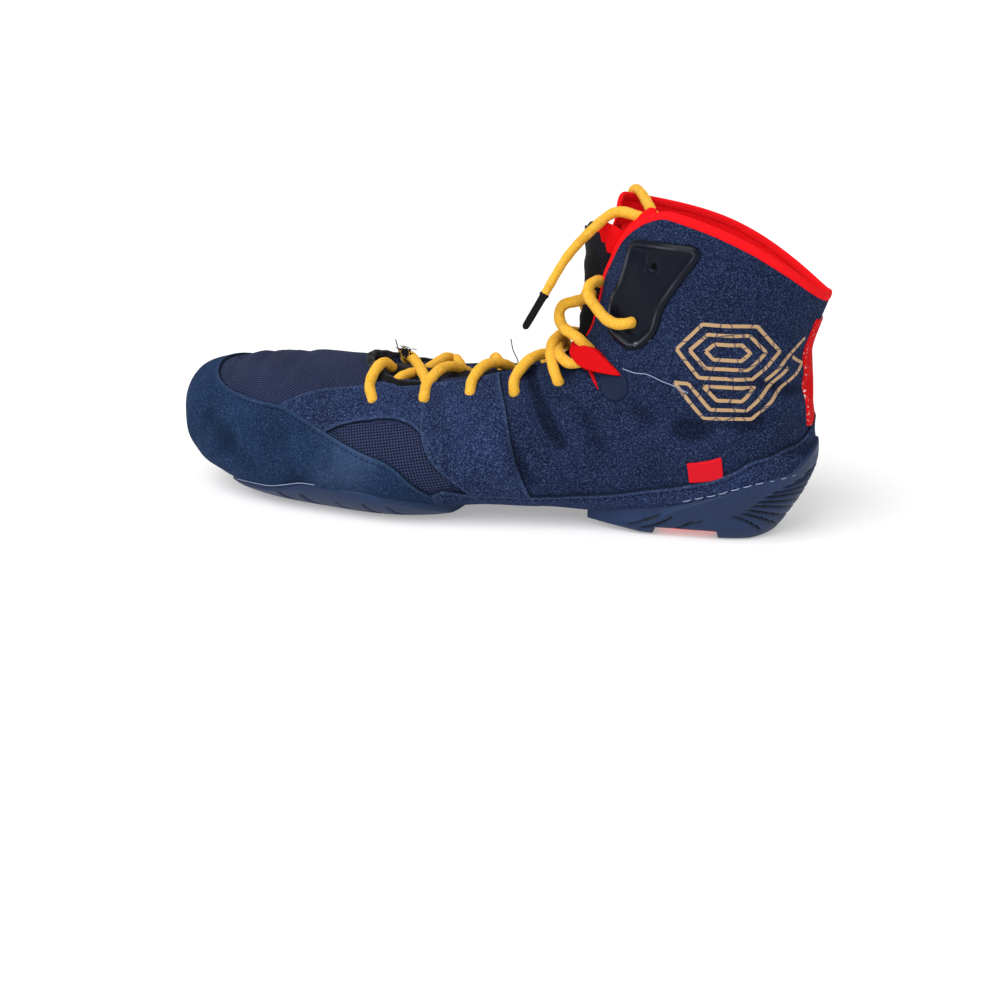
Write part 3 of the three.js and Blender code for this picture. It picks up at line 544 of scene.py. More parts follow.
def joined(name, pieces):
    """Several meshes as one piece."""
    deselect()
    for piece in pieces:
        piece.select_set(True)
    bpy.context.view_layer.objects.active = pieces[0]
    if len(pieces) > 1:
        bpy.ops.object.join()
    made = bpy.context.active_object
    made.name = made.data.name = name
    return made


def smooth_path(points, pitch=0.9):
    """Places at a pitch along a smooth curve through points in mm."""
    points = np.asarray(points, float)
    rough = spline(points, 200)
    length = np.linalg.norm(np.diff(rough, axis=0), axis=1).sum()
    return spline(points, max(int(length / pitch), 8))


# Materials
def new_material(name):
    material = bpy.data.materials.new(name)
    material.use_nodes = True
    tree = material.node_tree
    tree.nodes.clear()
    shader = tree.nodes.new("ShaderNodeBsdfPrincipled")
    output = tree.nodes.new("ShaderNodeOutputMaterial")
    tree.links.new(shader.outputs["BSDF"], output.inputs["Surface"])
    return material, tree, shader


def add(tree, kind, links=None, values=None, **settings):
    """A node with its settings, its inputs' values and what is linked into it."""
    node = tree.nodes.new("ShaderNode" + kind)
    for key, value in settings.items():
        setattr(node, key, value)
    for key, value in (values or {}).items():
        node.inputs[key].default_value = value
    for key, socket in (links or {}).items():
        tree.links.new(socket, node.inputs[key])
    return node


def noise(tree, where, scale, detail=2.0, roughness=0.5, distortion=0.0):
    return add(
        tree, "TexNoise", {"Vector": where},
        {"Scale": scale, "Detail": detail, "Roughness": roughness, "Distortion": distortion},
    ).outputs["Fac"]


def ramp(tree, value, low, high, to_low=0.0, to_high=1.0):
    return add(
        tree, "MapRange", {"Value": value},
        {"From Min": low, "From Max": high, "To Min": to_low, "To Max": to_high}, interpolation_type="SMOOTHSTEP",
    ).outputs["Result"]


def maths(tree, operation, a, b=None, c=None):
    node = tree.nodes.new("ShaderNodeMath")
    node.operation = operation
    for k, value in enumerate((a, b, c)):
        if value is None:
            continue
        if isinstance(value, (int, float)):
            node.inputs[k].default_value = value
        else:
            tree.links.new(value, node.inputs[k])
    return node.outputs["Value"]


def blend(tree, factor, first, second):
    """A colour mix; each colour is a socket or a linear triple."""
    node = tree.nodes.new("ShaderNodeMix")
    node.data_type = "RGBA"
    if isinstance(factor, (int, float)):
        node.inputs["Factor"].default_value = factor
    else:
        tree.links.new(factor, node.inputs["Factor"])
    for key, value in (("A", first), ("B", second)):
        socket = [i for i in node.inputs if i.name == key and i.type == "RGBA"][0]
        if isinstance(value, (tuple, list)):
            socket.default_value = (*value, 1)
        else:
            tree.links.new(value, socket)
    return [o for o in node.outputs if o.type == "RGBA"][0]


def bump(tree, height, distance, strength=1.0, onto=None):
    links = {"Height": height}
    if onto is not None:
        links["Normal"] = onto
    return add(tree, "Bump", links, {"Distance": distance, "Strength": strength}).outputs["Normal"]


def here(tree):
    return add(tree, "TexCoord").outputs["Object"]


def flat_map(tree):
    """The pattern's own flat coordinates in mm, split into along and across."""
    uv = add(tree, "UVMap", uv_map="flat").outputs["UV"]
    split = add(tree, "SeparateXYZ", {"Vector": uv})
    return uv, split.outputs["X"], split.outputs["Y"]


def edge_value(tree, name="edge"):
    return add(tree, "Attribute", attribute_name=name, attribute_type="GEOMETRY").outputs["Fac"]


def suede(name, ground, dark, nap, speck=0.45, worn_edge=0.35, scale=1.0, patch=0.0):
    """Napped leather: mottled ground, short pale fibres, painted shade in the creases and rubbed edges."""
    material, tree, shader = new_material(name)
    where = here(tree)
    broad = noise(tree, where, 42, 3, 0.55)
    middle = noise(tree, where, 330, 4, 0.65, 0.4)
    fibre = noise(tree, where, 1500 * scale, 3, 0.75, 0.3)
    fine = noise(tree, where, 3600 * scale, 2, 0.6)
    colour = blend(tree, ramp(tree, broad, 0.3, 0.7), blend(tree, 0.6, ground, dark), ground)
    colour = blend(tree, maths(tree, "MULTIPLY", ramp(tree, middle, 0.45, 0.7), 0.35), colour, dark)
    pale = maths(tree, "MULTIPLY", ramp(tree, fibre, 0.49, 0.69), speck)
    colour = blend(tree, pale, colour, nap)
    deep = maths(tree, "MULTIPLY", ramp(tree, fibre, 0.49, 0.33), 0.6)
    colour = blend(tree, deep, colour, tuple(c * 0.35 for c in dark))
    if patch:
        rubbed = maths(tree, "MULTIPLY", ramp(tree, noise(tree, where, 30, 4, 0.6, 0.4), 0.48, 0.68), patch)
        colour = blend(tree, rubbed, colour, nap)
    if worn_edge:
        edge = edge_value(tree)
        rim = maths(tree, "MULTIPLY", ramp(tree, edge, 2.4, 0.9), worn_edge)
        colour = blend(tree, rim, colour, nap)
        under = maths(tree, "MULTIPLY", ramp(tree, edge, 0.75, 0.2), 0.8)
        colour = blend(tree, under, colour, tuple(c * 0.3 for c in dark))
    # Painted shade: darker where the fold attribute says the surface is creased inward.
    crease_shade = maths(tree, "MULTIPLY", ramp(tree, edge_value(tree, "fold"), -0.1, -1.3), 0.6)
    colour = blend(tree, crease_shade, colour, tuple(c * 0.4 for c in dark))
    tree.links.new(colour, shader.inputs["Base Color"])
    rough = bump(tree, middle, 0.0004, 0.5)
    rough = bump(tree, fibre, 0.0004, 0.9, rough)
    rough = bump(tree, fine, 0.00015, 0.8, rough)
    tree.links.new(rough, shader.inputs["Normal"])
    shader.inputs["Roughness"].default_value = 0.95
    shader.inputs["Specular IOR Level"].default_value = 0.05
    shader.inputs["Sheen Weight"].default_value = 0.06
    shader.inputs["Sheen Roughness"].default_value = 0.5
    shader.inputs["Sheen Tint"].default_value = (*nap, 1)
    return material


def knit(name, thread, gap, pitch=1.05, slant=0.28, depth=0.0004, sheen=0.03):
    """Close knitted rows along the pattern, each of short slanted loops."""
    material, tree, shader = new_material(name)
    where = here(tree)
    _, u, v = flat_map(tree)
    wobble = maths(tree, "MULTIPLY", noise(tree, where, 120, 2), 1.2)
    across = maths(tree, "ADD", maths(tree, "MULTIPLY_ADD", u, slant, v), wobble)
    rows = maths(tree, "SINE", maths(tree, "MULTIPLY", across, 2 * math.pi / pitch))
    rows = maths(tree, "MULTIPLY_ADD", rows, 0.5, 0.5)
    loops = maths(tree, "ADD", u, maths(tree, "MULTIPLY", v, 0.9))
    loops = maths(tree, "SINE", maths(tree, "MULTIPLY", loops, 2 * math.pi / 0.8))
    loops = maths(tree, "MULTIPLY_ADD", loops, 0.5, 0.5)
    plain_rows = maths(tree, "MULTIPLY", rows, 0.45)
    cloth = maths(tree, "MULTIPLY_ADD", maths(tree, "MULTIPLY", rows, loops), 0.55, plain_rows)
    grain = noise(tree, where, 1500, 3, 0.6)
    shade = maths(tree, "MULTIPLY", ramp(tree, cloth, 0.15, 0.8), ramp(tree, grain, 0.25, 0.65, 0.4, 1.15))
    colour = blend(tree, shade, gap, thread)
    broad = ramp(tree, noise(tree, where, 45, 3), 0.35, 0.7)
    colour = blend(tree, maths(tree, "MULTIPLY", broad, 0.35), colour, tuple(c * 0.6 for c in thread))
    tree.links.new(colour, shader.inputs["Base Color"])
    tree.links.new(bump(tree, cloth, depth, 0.8, bump(tree, grain, 0.0002, 0.5)), shader.inputs["Normal"])
    shader.inputs["Roughness"].default_value = 0.88
    shader.inputs["Specular IOR Level"].default_value = 0.08
    shader.inputs["Sheen Weight"].default_value = sheen
    return material


def pierced_mesh(name, thread, hole, pitch=1.35):
    """Open mesh: round dark holes in rows between soft threads."""
    material, tree, shader = new_material(name)
    where = here(tree)
    _, u, v = flat_map(tree)
    turned = maths(tree, "MULTIPLY_ADD", v, 0.3, u)
    crossed = maths(tree, "MULTIPLY_ADD", u, -0.3, v)
    a = maths(tree, "COSINE", maths(tree, "MULTIPLY", turned, 2 * math.pi / pitch))
    b = maths(tree, "COSINE", maths(tree, "MULTIPLY", crossed, 2 * math.pi / pitch))
    field = maths(tree, "ADD", a, b)
    holes = ramp(tree, field, 0.1, 0.8)
    grain = noise(tree, where, 1800, 3, 0.6)
    tone = blend(tree, ramp(tree, grain, 0.3, 0.7), tuple(c * 0.55 for c in thread), thread)
    tree.links.new(blend(tree, holes, tone, hole), shader.inputs["Base Color"])
    sunk = maths(tree, "SUBTRACT", 1.0, holes)
    tree.links.new(bump(tree, sunk, 0.0005, 0.9, bump(tree, grain, 0.00015, 0.5)), shader.inputs["Normal"])
    shader.inputs["Roughness"].default_value = 0.8
    shader.inputs["Specular IOR Level"].default_value = 0.12
    return material


def rubber(name, ground, dusty, roughness=0.52):
    """Moulded rubber with faint dust, rubbed spots and painted shade in its sipes."""
    material, tree, shader = new_material(name)
    where = here(tree)
    dust = ramp(tree, noise(tree, where, 90, 5, 0.65), 0.45, 0.75)
    spots = ramp(tree, noise(tree, where, 900, 3, 0.6), 0.58, 0.72)
    colour = blend(tree, maths(tree, "MULTIPLY", dust, 0.4), ground, dusty)
    colour = blend(tree, maths(tree, "MULTIPLY", spots, 0.18), colour, dusty)
    # Painted shade: the edge attribute holds the sipes' depth, and the colour darkens in them.
    sipe_cut_and_shade = ramp(tree, edge_value(tree), 0.15, 0.9, 0.0, 0.85)
    colour = blend(tree, sipe_cut_and_shade, colour, tuple(c * 0.12 for c in ground))
    tree.links.new(colour, shader.inputs["Base Color"])
    tree.links.new(ramp(tree, dust, 0, 1, roughness - 0.06, roughness + 0.16), shader.inputs["Roughness"])
    fine = noise(tree, where, 2200, 3, 0.6)
    tree.links.new(bump(tree, fine, 0.00012, 0.4), shader.inputs["Normal"])
    shader.inputs["Specular IOR Level"].default_value = 0.18
    return material


def glossy_plate(name, ground, scuff_and_highlight):
    """Smooth moulded film with a few pale scuffs that run down it, and a painted highlight along its raised rim."""
    material, tree, shader = new_material(name)
    where = here(tree)
    drawn = add(
        tree, "Mapping", {"Vector": where}, {"Scale": (1.0, 1.0, 0.22), "Rotation": (0.0, 0.45, 0.0)},
    ).outputs["Vector"]
    streaks = ramp(tree, noise(tree, drawn, 420, 5, 0.7, 0.6), 0.64, 0.70)
    area = ramp(tree, noise(tree, where, 60, 2), 0.47, 0.6)
    scuff = maths(tree, "MULTIPLY", streaks, area)
    # Painted highlight: a faint pale line on the raised rim, 1.5 to 2.9 mm inside the edge.
    rim = edge_value(tree)
    line = maths(tree, "MULTIPLY", ramp(tree, rim, 1.5, 2.1), ramp(tree, rim, 2.1, 2.9, 1.0, 0.0))
    line = maths(tree, "MULTIPLY", line, ramp(tree, noise(tree, where, 90, 3), 0.35, 0.65, 0.03, 0.12))
    colour = blend(tree, line, ground, scuff_and_highlight)
    colour = blend(tree, maths(tree, "MULTIPLY", scuff, 0.7), colour, scuff_and_highlight)
    tree.links.new(colour, shader.inputs["Base Color"])
    tree.links.new(ramp(tree, scuff, 0, 1, 0.3, 0.6), shader.inputs["Roughness"])
    skin = noise(tree, where, 260, 3, 0.5)
    tree.links.new(bump(tree, skin, 0.0002, 0.35), shader.inputs["Normal"])
    shader.inputs["Specular IOR Level"].default_value = 0.12
    shader.inputs["Coat Weight"].default_value = 0.03
    shader.inputs["Coat Roughness"].default_value = 0.15
    return material


def woven(name, ground, dark, pitch=0.9, fuzz=None, roughness=0.85, depth=0.00025):
    """Close weave or rib, in the piece's own flat coordinates."""
    material, tree, shader = new_material(name)
    where = here(tree)
    _, u, v = flat_map(tree)
    a = maths(tree, "SINE", maths(tree, "MULTIPLY", maths(tree, "ADD", u, v), 2 * math.pi / pitch))
    b = maths(tree, "SINE", maths(tree, "MULTIPLY", maths(tree, "SUBTRACT", u, v), 2 * math.pi / pitch))
    weave = maths(tree, "MULTIPLY_ADD", maths(tree, "MULTIPLY", a, b), 0.5, 0.5)
    grain = noise(tree, where, 1600, 3, 0.6)
    colour = blend(tree, maths(tree, "MULTIPLY_ADD", weave, 0.5, maths(tree, "MULTIPLY", grain, 0.6)), dark, ground)
    if fuzz:
        spots = ramp(tree, noise(tree, where, 700, 4, 0.7), 0.56, 0.68)
        rim = ramp(tree, edge_value(tree), 3.2, 0.4)
        colour = blend(tree, maths(tree, "MULTIPLY", spots, rim), colour, fuzz)
    tree.links.new(colour, shader.inputs["Base Color"])
    tree.links.new(bump(tree, weave, depth, 0.7, bump(tree, grain, 0.0002, 0.5)), shader.inputs["Normal"])
    shader.inputs["Roughness"].default_value = roughness
    shader.inputs["Specular IOR Level"].default_value = 0.06
    return material


def lace_braid(name, ground, dark, pale):
    """Round braided cord: two sets of strands that cross, in the cord's own length and turn."""
    material, tree, shader = new_material(name)
    where = here(tree)
    _, u, v = flat_map(tree)
    turn = maths(tree, "MULTIPLY", v, 14.0)
    run = maths(tree, "MULTIPLY_ADD", u, 0.85, maths(tree, "MULTIPLY", noise(tree, where, 200, 2), 0.8))
    one = maths(tree, "SINE", maths(tree, "MULTIPLY", maths(tree, "ADD", run, turn), 2 * math.pi))
    two = maths(tree, "SINE", maths(tree, "MULTIPLY", maths(tree, "SUBTRACT", run, turn), 2 * math.pi))
    braid = maths(tree, "MULTIPLY_ADD", maths(tree, "MAXIMUM", one, two), 0.5, 0.5)
    fibre = noise(tree, where, 2000, 4, 0.7)
    colour = blend(tree, ramp(tree, braid, 0.0, 0.55), blend(tree, 0.45, ground, dark), ground)
    colour = blend(tree, maths(tree, "MULTIPLY", ramp(tree, fibre, 0.46, 0.66), 0.55), colour, pale)
    creased = maths(tree, "MULTIPLY", ramp(tree, noise(tree, where, 420, 4, 0.7, 0.5), 0.54, 0.66), 0.3)
    colour = blend(tree, creased, colour, dark)
    soiled = maths(tree, "MULTIPLY", ramp(tree, noise(tree, where, 110, 4, 0.6), 0.5, 0.68), 0.3)
    colour = blend(tree, soiled, colour, dark)
    tree.links.new(colour, shader.inputs["Base Color"])
    tree.links.new(bump(tree, braid, 0.00035, 0.6, bump(tree, fibre, 0.0006, 0.8)), shader.inputs["Normal"])
    shader.inputs["Roughness"].default_value = 0.85
    shader.inputs["Specular IOR Level"].default_value = 0.1
    shader.inputs["Sheen Weight"].default_value = 0.1
    shader.inputs["Sheen Tint"].default_value = (*pale, 1)
    return material


def fleece(name, ground, dark, roughness=0.95):
    """Dull brushed cloth."""
    material, tree, shader = new_material(name)
    where = here(tree)
    nap = noise(tree, where, 1300, 4, 0.7)
    broad = noise(tree, where, 120, 3)
    colour = blend(tree, ramp(tree, nap, 0.35, 0.7), dark, ground)
    tree.links.new(colour, shader.inputs["Base Color"])
    tree.links.new(bump(tree, nap, 0.0004, 0.7, bump(tree, broad, 0.0006, 0.4)), shader.inputs["Normal"])
    shader.inputs["Roughness"].default_value = roughness
    shader.inputs["Specular IOR Level"].default_value = 0.15
    shader.inputs["Sheen Weight"].default_value = 0.12
    return material


def printed_film(name, ground, crack):
    """Thin metallic print, cracked across and rubbed."""
    material, tree, shader = new_material(name)
    where = here(tree)
    cells = add(
        tree, "TexVoronoi", {"Vector": where}, {"Scale": 130.0}, feature="DISTANCE_TO_EDGE",
    ).outputs["Distance"]
    cracks = ramp(tree, cells, 0.05, 0.02)
    rubbed = ramp(tree, noise(tree, where, 700, 5, 0.75), 0.60, 0.66)
    lost = maths(tree, "MAXIMUM", cracks, rubbed)
    tone = blend(tree, noise(tree, where, 900, 3), tuple(c * 0.72 for c in ground), ground)
    tree.links.new(blend(tree, maths(tree, "MULTIPLY", lost, 0.8), tone, crack), shader.inputs["Base Color"])
    shader.inputs["Roughness"].default_value = 0.5
    shader.inputs["Specular IOR Level"].default_value = 0.5
    tree.links.new(bump(tree, lost, 0.0001, -0.5), shader.inputs["Normal"])
    return material


def plain(name, ground, roughness=0.5, grain=900.0, depth=0.0001, variation=0.25):
    """A simple solid finish with a little grain and tone."""
    material, tree, shader = new_material(name)
    where = here(tree)
    value = noise(tree, where, grain, 3, 0.6)
    colour = blend(tree, maths(tree, "MULTIPLY", value, variation), ground, tuple(c * 0.4 for c in ground))
    tree.links.new(colour, shader.inputs["Base Color"])
    tree.links.new(bump(tree, value, depth, 0.5), shader.inputs["Normal"])
    shader.inputs["Roughness"].default_value = roughness
    shader.inputs["Specular IOR Level"].default_value = 0.12
    return material


def finishes():
    """Every finish of the shoe, made once."""
    if MATERIALS:
        return MATERIALS
    c = bpy.context.scene.shoe_colours
    dark = tuple(x * 0.42 for x in c.suede)
    MATERIALS.update(
        suede=suede("navy_suede", tuple(c.suede), dark, tuple(c.nap), 0.4, 0),
        panel=suede("navy_suede_panel", tuple(x * 1.45 for x in c.suede), dark, tuple(c.nap), 0.6, 0.12),
        toe=suede("toe_suede", tuple(c.toe_suede), tuple(x * 0.55 for x in c.toe_suede), tuple(c.nap), 0.25, 0.1,
                  patch=0.14),
        knit=knit("vamp_knit", tuple(x * 1.5 for x in c.knit), tuple(x * 0.14 for x in c.knit), 1.25, 0.4, 0.0007),
        window=pierced_mesh("window_mesh", tuple(x * 1.0 for x in c.knit), tuple(x * 0.03 for x in c.knit)),
        lining=woven("red_lining", linear("e61018"), linear("da0c12"), 1.3, depth=0.0001),
        binding=woven("red_binding", linear("fa1920"), tuple(x * 0.8 for x in c.red), 0.8),
        webbing=woven("red_webbing", tuple(c.red), tuple(x * 0.55 for x in c.red), 1.1, depth=0.0005),
        strip=woven("red_back_mesh", tuple(c.red), tuple(x * 0.3 for x in c.red), 1.2, fuzz=linear("e8e2dc")),
        rubber=rubber("navy_rubber", tuple(c.rubber), tuple(x * 1.9 for x in c.rubber)),
        pad=rubber("red_rubber", tuple(c.red), tuple(x * 0.8 for x in c.red), 0.5),
        plate=glossy_plate("gloss_plate", tuple(c.plate), linear("a8adb6")),
        lace=lace_braid("lace_cord", tuple(c.lace), tuple(x * 0.5 for x in c.lace), linear("ffe08c")),
        tongue=fleece("black_fleece", linear("0c0c11"), linear("030304")),
        gusset=pierced_mesh("grey_gusset", linear("2a2836"), linear("08080c"), 1.1),
        print=printed_film("gold_print", tuple(c.print_gold), tuple(c.suede)),
        label=plain("red_label", linear("cf1020"), 0.7, 700, 0.0001, 0.2),
        thread=plain("pale_thread", linear("8c97b4"), 0.8, 1500),
        navy_thread=plain("navy_thread", linear("0f1730"), 0.85, 1500),
        # A near-black finish for the plate's hole: painted shade.
        hole=plain("hole_painted_shade", (0.0004, 0.0004, 0.0008), 1.0),
        disc=plain("disc_film", linear("141d38"), 0.55, 300, 0.0001, 0.15),
        black=plain("aglet_film", linear("0c0c10"), 0.28, 600),
        board=plain("sock_board", linear("6d6a70"), 0.9, 500, 0.0003, 0.4),
        hair=plain("loose_thread", linear("22222a"), 0.9, 1500),
    )
    return MATERIALS


MATERIALS = {}


class ShoeSizes(bpy.types.PropertyGroup):
    lace: FloatProperty(name="Lace", description="Thickness of the cord laces", default=0.0052, unit="LENGTH")
    panel: FloatProperty(name="Panel", description="Thickness of the sewn panels", default=0.0011, unit="LENGTH")
    rubber: FloatProperty(name="Rubber", description="Wall of the rubber soles", default=0.0019, unit="LENGTH")
    stitch: FloatProperty(name="Stitch", description="Length of one stitch", default=0.0030, unit="LENGTH")


def colour_property(label, says, hexed):
    return FloatVectorProperty(
        name=label, description=says, subtype="COLOR", size=3, default=linear(hexed), min=0, max=1,
    )


class ShoeColours(bpy.types.PropertyGroup):
    suede: colour_property("Suede", "Ground of the navy suede", "1a2442")
    nap: colour_property("Nap", "Pale fibres of the suede", "61779f")
    toe_suede: colour_property("Toe suede", "Ground of the toe cap", "1a2f4d")
    knit: colour_property("Knit", "Threads of the vamp", "303a5e")
    rubber: colour_property("Rubber", "Ground of the soles", "1c2d4c")
    plate: colour_property("Plate", "Ground of the lace plates", "060b18")
    red: colour_property("Red", "Lining, binding, loops and tab", "ee1219")
    lace: colour_property("Lace", "Ground of the laces", "f6b52a")
    print_gold: colour_property("Print", "Lines of the side motif", "b8946a")


def size_of(name):
    """A size of the shoe in mm."""
    return getattr(bpy.context.scene.shoe_sizes, name) * 1000


# Camera and stage
CAMERA_TARGET = (150.0, -8.0, 2.6)
CAMERA_AZIMUTH = 12.5
CAMERA_ELEVATION = 19.5
CAMERA_DISTANCE = 680.0
CAMERA_ROLL = 1.4
CAMERA_LENS = 54.0


def camera_axes():
    a, e, r = (math.radians(x) for x in (CAMERA_AZIMUTH, CAMERA_ELEVATION, CAMERA_ROLL))
    back = Vector((math.sin(a) * math.cos(e), -math.cos(a) * math.cos(e), math.sin(e)))
    right = Vector((0, 0, 1)).cross(back).normalized()
    up = back.cross(right)
    return right * math.cos(r) + up * math.sin(r), up * math.cos(r) - right * math.sin(r), back


def make_camera():
    right, up, back = camera_axes()
    bpy.ops.object.camera_add()
    camera = bpy.context.active_object
    camera.name = "photo_camera"
    camera.data.lens = CAMERA_LENS
    camera.data.sensor_width = 36.0
    camera.data.clip_start, camera.data.clip_end = 0.01, 200
    place = Vector(to_row(CAMERA_TARGET)) + back * CAMERA_DISTANCE * 0.001
    turn = Matrix((right, up, back)).transposed().to_4x4()
    camera.matrix_world = Matrix.Translation(place) @ turn
    bpy.context.scene.camera = camera


def softbox(name, place, target, size, power, colour=(1, 1, 1)):
    bpy.ops.object.light_add(type="AREA", location=place)
    light = bpy.context.active_object
    light.name = name
    light.data.shape = "DISK"
    light.data.size = size
    light.data.energy = power
    light.data.color = colour
    light.rotation_euler = (Vector(place) - Vector(target)).to_track_quat("Z", "Y").to_euler()


class SHOE_OT_stage(bpy.types.Operator):
    """Makes the camera, the pale floor and the soft lights"""
    bl_idname = "shoe.stage"
    bl_label = "Stage"

    def execute(self, context):
        make_camera()
        deselect()
        bpy.ops.mesh.primitive_plane_add(size=60, location=(0, 20, 0))
        floor = bpy.context.active_object
        floor.name = "floor"
        material, _, shader = new_material("pale_floor")
        shader.inputs["Base Color"].default_value = (0.68, 0.68, 0.685, 1)
        shader.inputs["Emission Color"].default_value = (1, 0.99, 0.98, 1)
        shader.inputs["Emission Strength"].default_value = 0.33
        shader.inputs["Roughness"].default_value = 0.9
        shader.inputs["Specular IOR Level"].default_value = 0.1
        floor.data.materials.append(material)
        world = bpy.data.worlds.new("studio")
        context.scene.world = world
        world.use_nodes = True
        world.node_tree.nodes["Background"].inputs["Color"].default_value = (1, 1, 1, 1)
        world.node_tree.nodes["Background"].inputs["Strength"].default_value = 0.56
        bpy.ops.object.light_add(type="SUN", location=(-0.5, -0.8, 1.2))
        sun = context.active_object
        sun.name = "key"
        sun.data.energy = 2.7
        sun.data.angle = 0.9
        sun.rotation_euler = Vector((-0.42, -0.62, 0.85)).to_track_quat("Z", "Y").to_euler()
        softbox("fill", (0.9, -1.3, 0.8), (0.03, 0, 0.06), 1.2, 3)
        context.scene.view_settings.view_transform = "Standard"
        context.scene.view_settings.look = "None"
        context.scene.view_settings.exposure = 0.0
        return {"FINISHED"}


# Laces
LACE_END = (
    # shares of length, ball width and collar height, from inside the collar over its front
    (0.735, -0.17, 0.82), (0.75, -0.16, 0.885), (0.742, -0.135, 0.95), (0.712, -0.12, 0.979),
    (0.682, -0.102, 0.982), (0.654, -0.135, 0.935), (0.62, -0.19, 0.85), (0.5895, -0.215, 0.732),
)
FAR_END = (
    (0.757, -0.05, 0.83), (0.752, -0.05, 0.895), (0.739, -0.02, 0.955), (0.724, 0.06, 0.99),
    (0.708, 0.16, 1.016), (0.693, 0.25, 1.022), (0.684, 0.3, 0.985), (0.68, 0.325, 0.92), (0.677, 0.335, 0.85),
)
SIZES = np.array([LENGTH, BALL_WIDTH, COLLAR_HEIGHT])


def lace_piece(name, path, finish, radius=None):
    radius = np.full(len(path), size_of("lace") / 2) if radius is None else radius
    swell = 1 + 0.03 * np.sin(np.arange(len(path)) * 0.9) + 0.02 * np.sin(np.arange(len(path)) * 0.37 + 1)
    places, flat = cord_places(path, radius * swell)
    piece = grid_piece(name, places, flat, angle=80)
    piece.data.materials.append(finish)
    return piece


def free_end(name, node, shares):
    path = smooth_path(np.array(shares) * SIZES)
    radius = size_of("lace") / 2 * np.interp(np.linspace(0, 1, len(path)), [0, 0.4, 0.75, 1], [1, 0.88, 0.76, 0.7])
    piece = lace_piece(name, path, finishes()["lace"], radius)
    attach(piece, "root")
    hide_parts(node)
    size_of("lace") * 0.001
    return path


class SHOE_OT_lace_ends(bpy.types.Operator):
    """Makes the free ends of the laces, with the aglet"""
    bl_idname = "shoe.lace_ends"
    bl_label = "Lace ends"

    def execute(self, context):
        path = smooth_path(np.array(LACE_END) * SIZES)
        way = unit(path[-1] - path[-4])
        start = path[-1] - way * 0.6
        points = start + way * np.array([0, 0.8, 1.6, 4, 8, 12, 15.5, 16.6, 17.0])[:, None]
        radii = np.array([2.0, 2.15, 1.75, 1.68, 1.66, 1.66, 1.6, 1.4, 1.0])
        places, flat = cord_places(points, radii, 20)
        aglet = grid_piece("aglet", places, flat)
        aglet.data.materials.append(finishes()["black"])
        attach(aglet, "root")
        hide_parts("aglet_lateral")
        free_end("lace_end_near", "lace_end_lateral", LACE_END)
        free_end("lace_end_far", "lace_end_medial", FAR_END)
        return {"FINISHED"}


def on_upper(points):
    """Points given as section, share of the half girth and height over the upper, in mm."""
    table = np.array(points)
    return surface(table[:, 0], table[:, 1], table[:, 2])


# A lace that is pulled tight is thinner than its free ends.
PULLED_TIGHT = 0.92
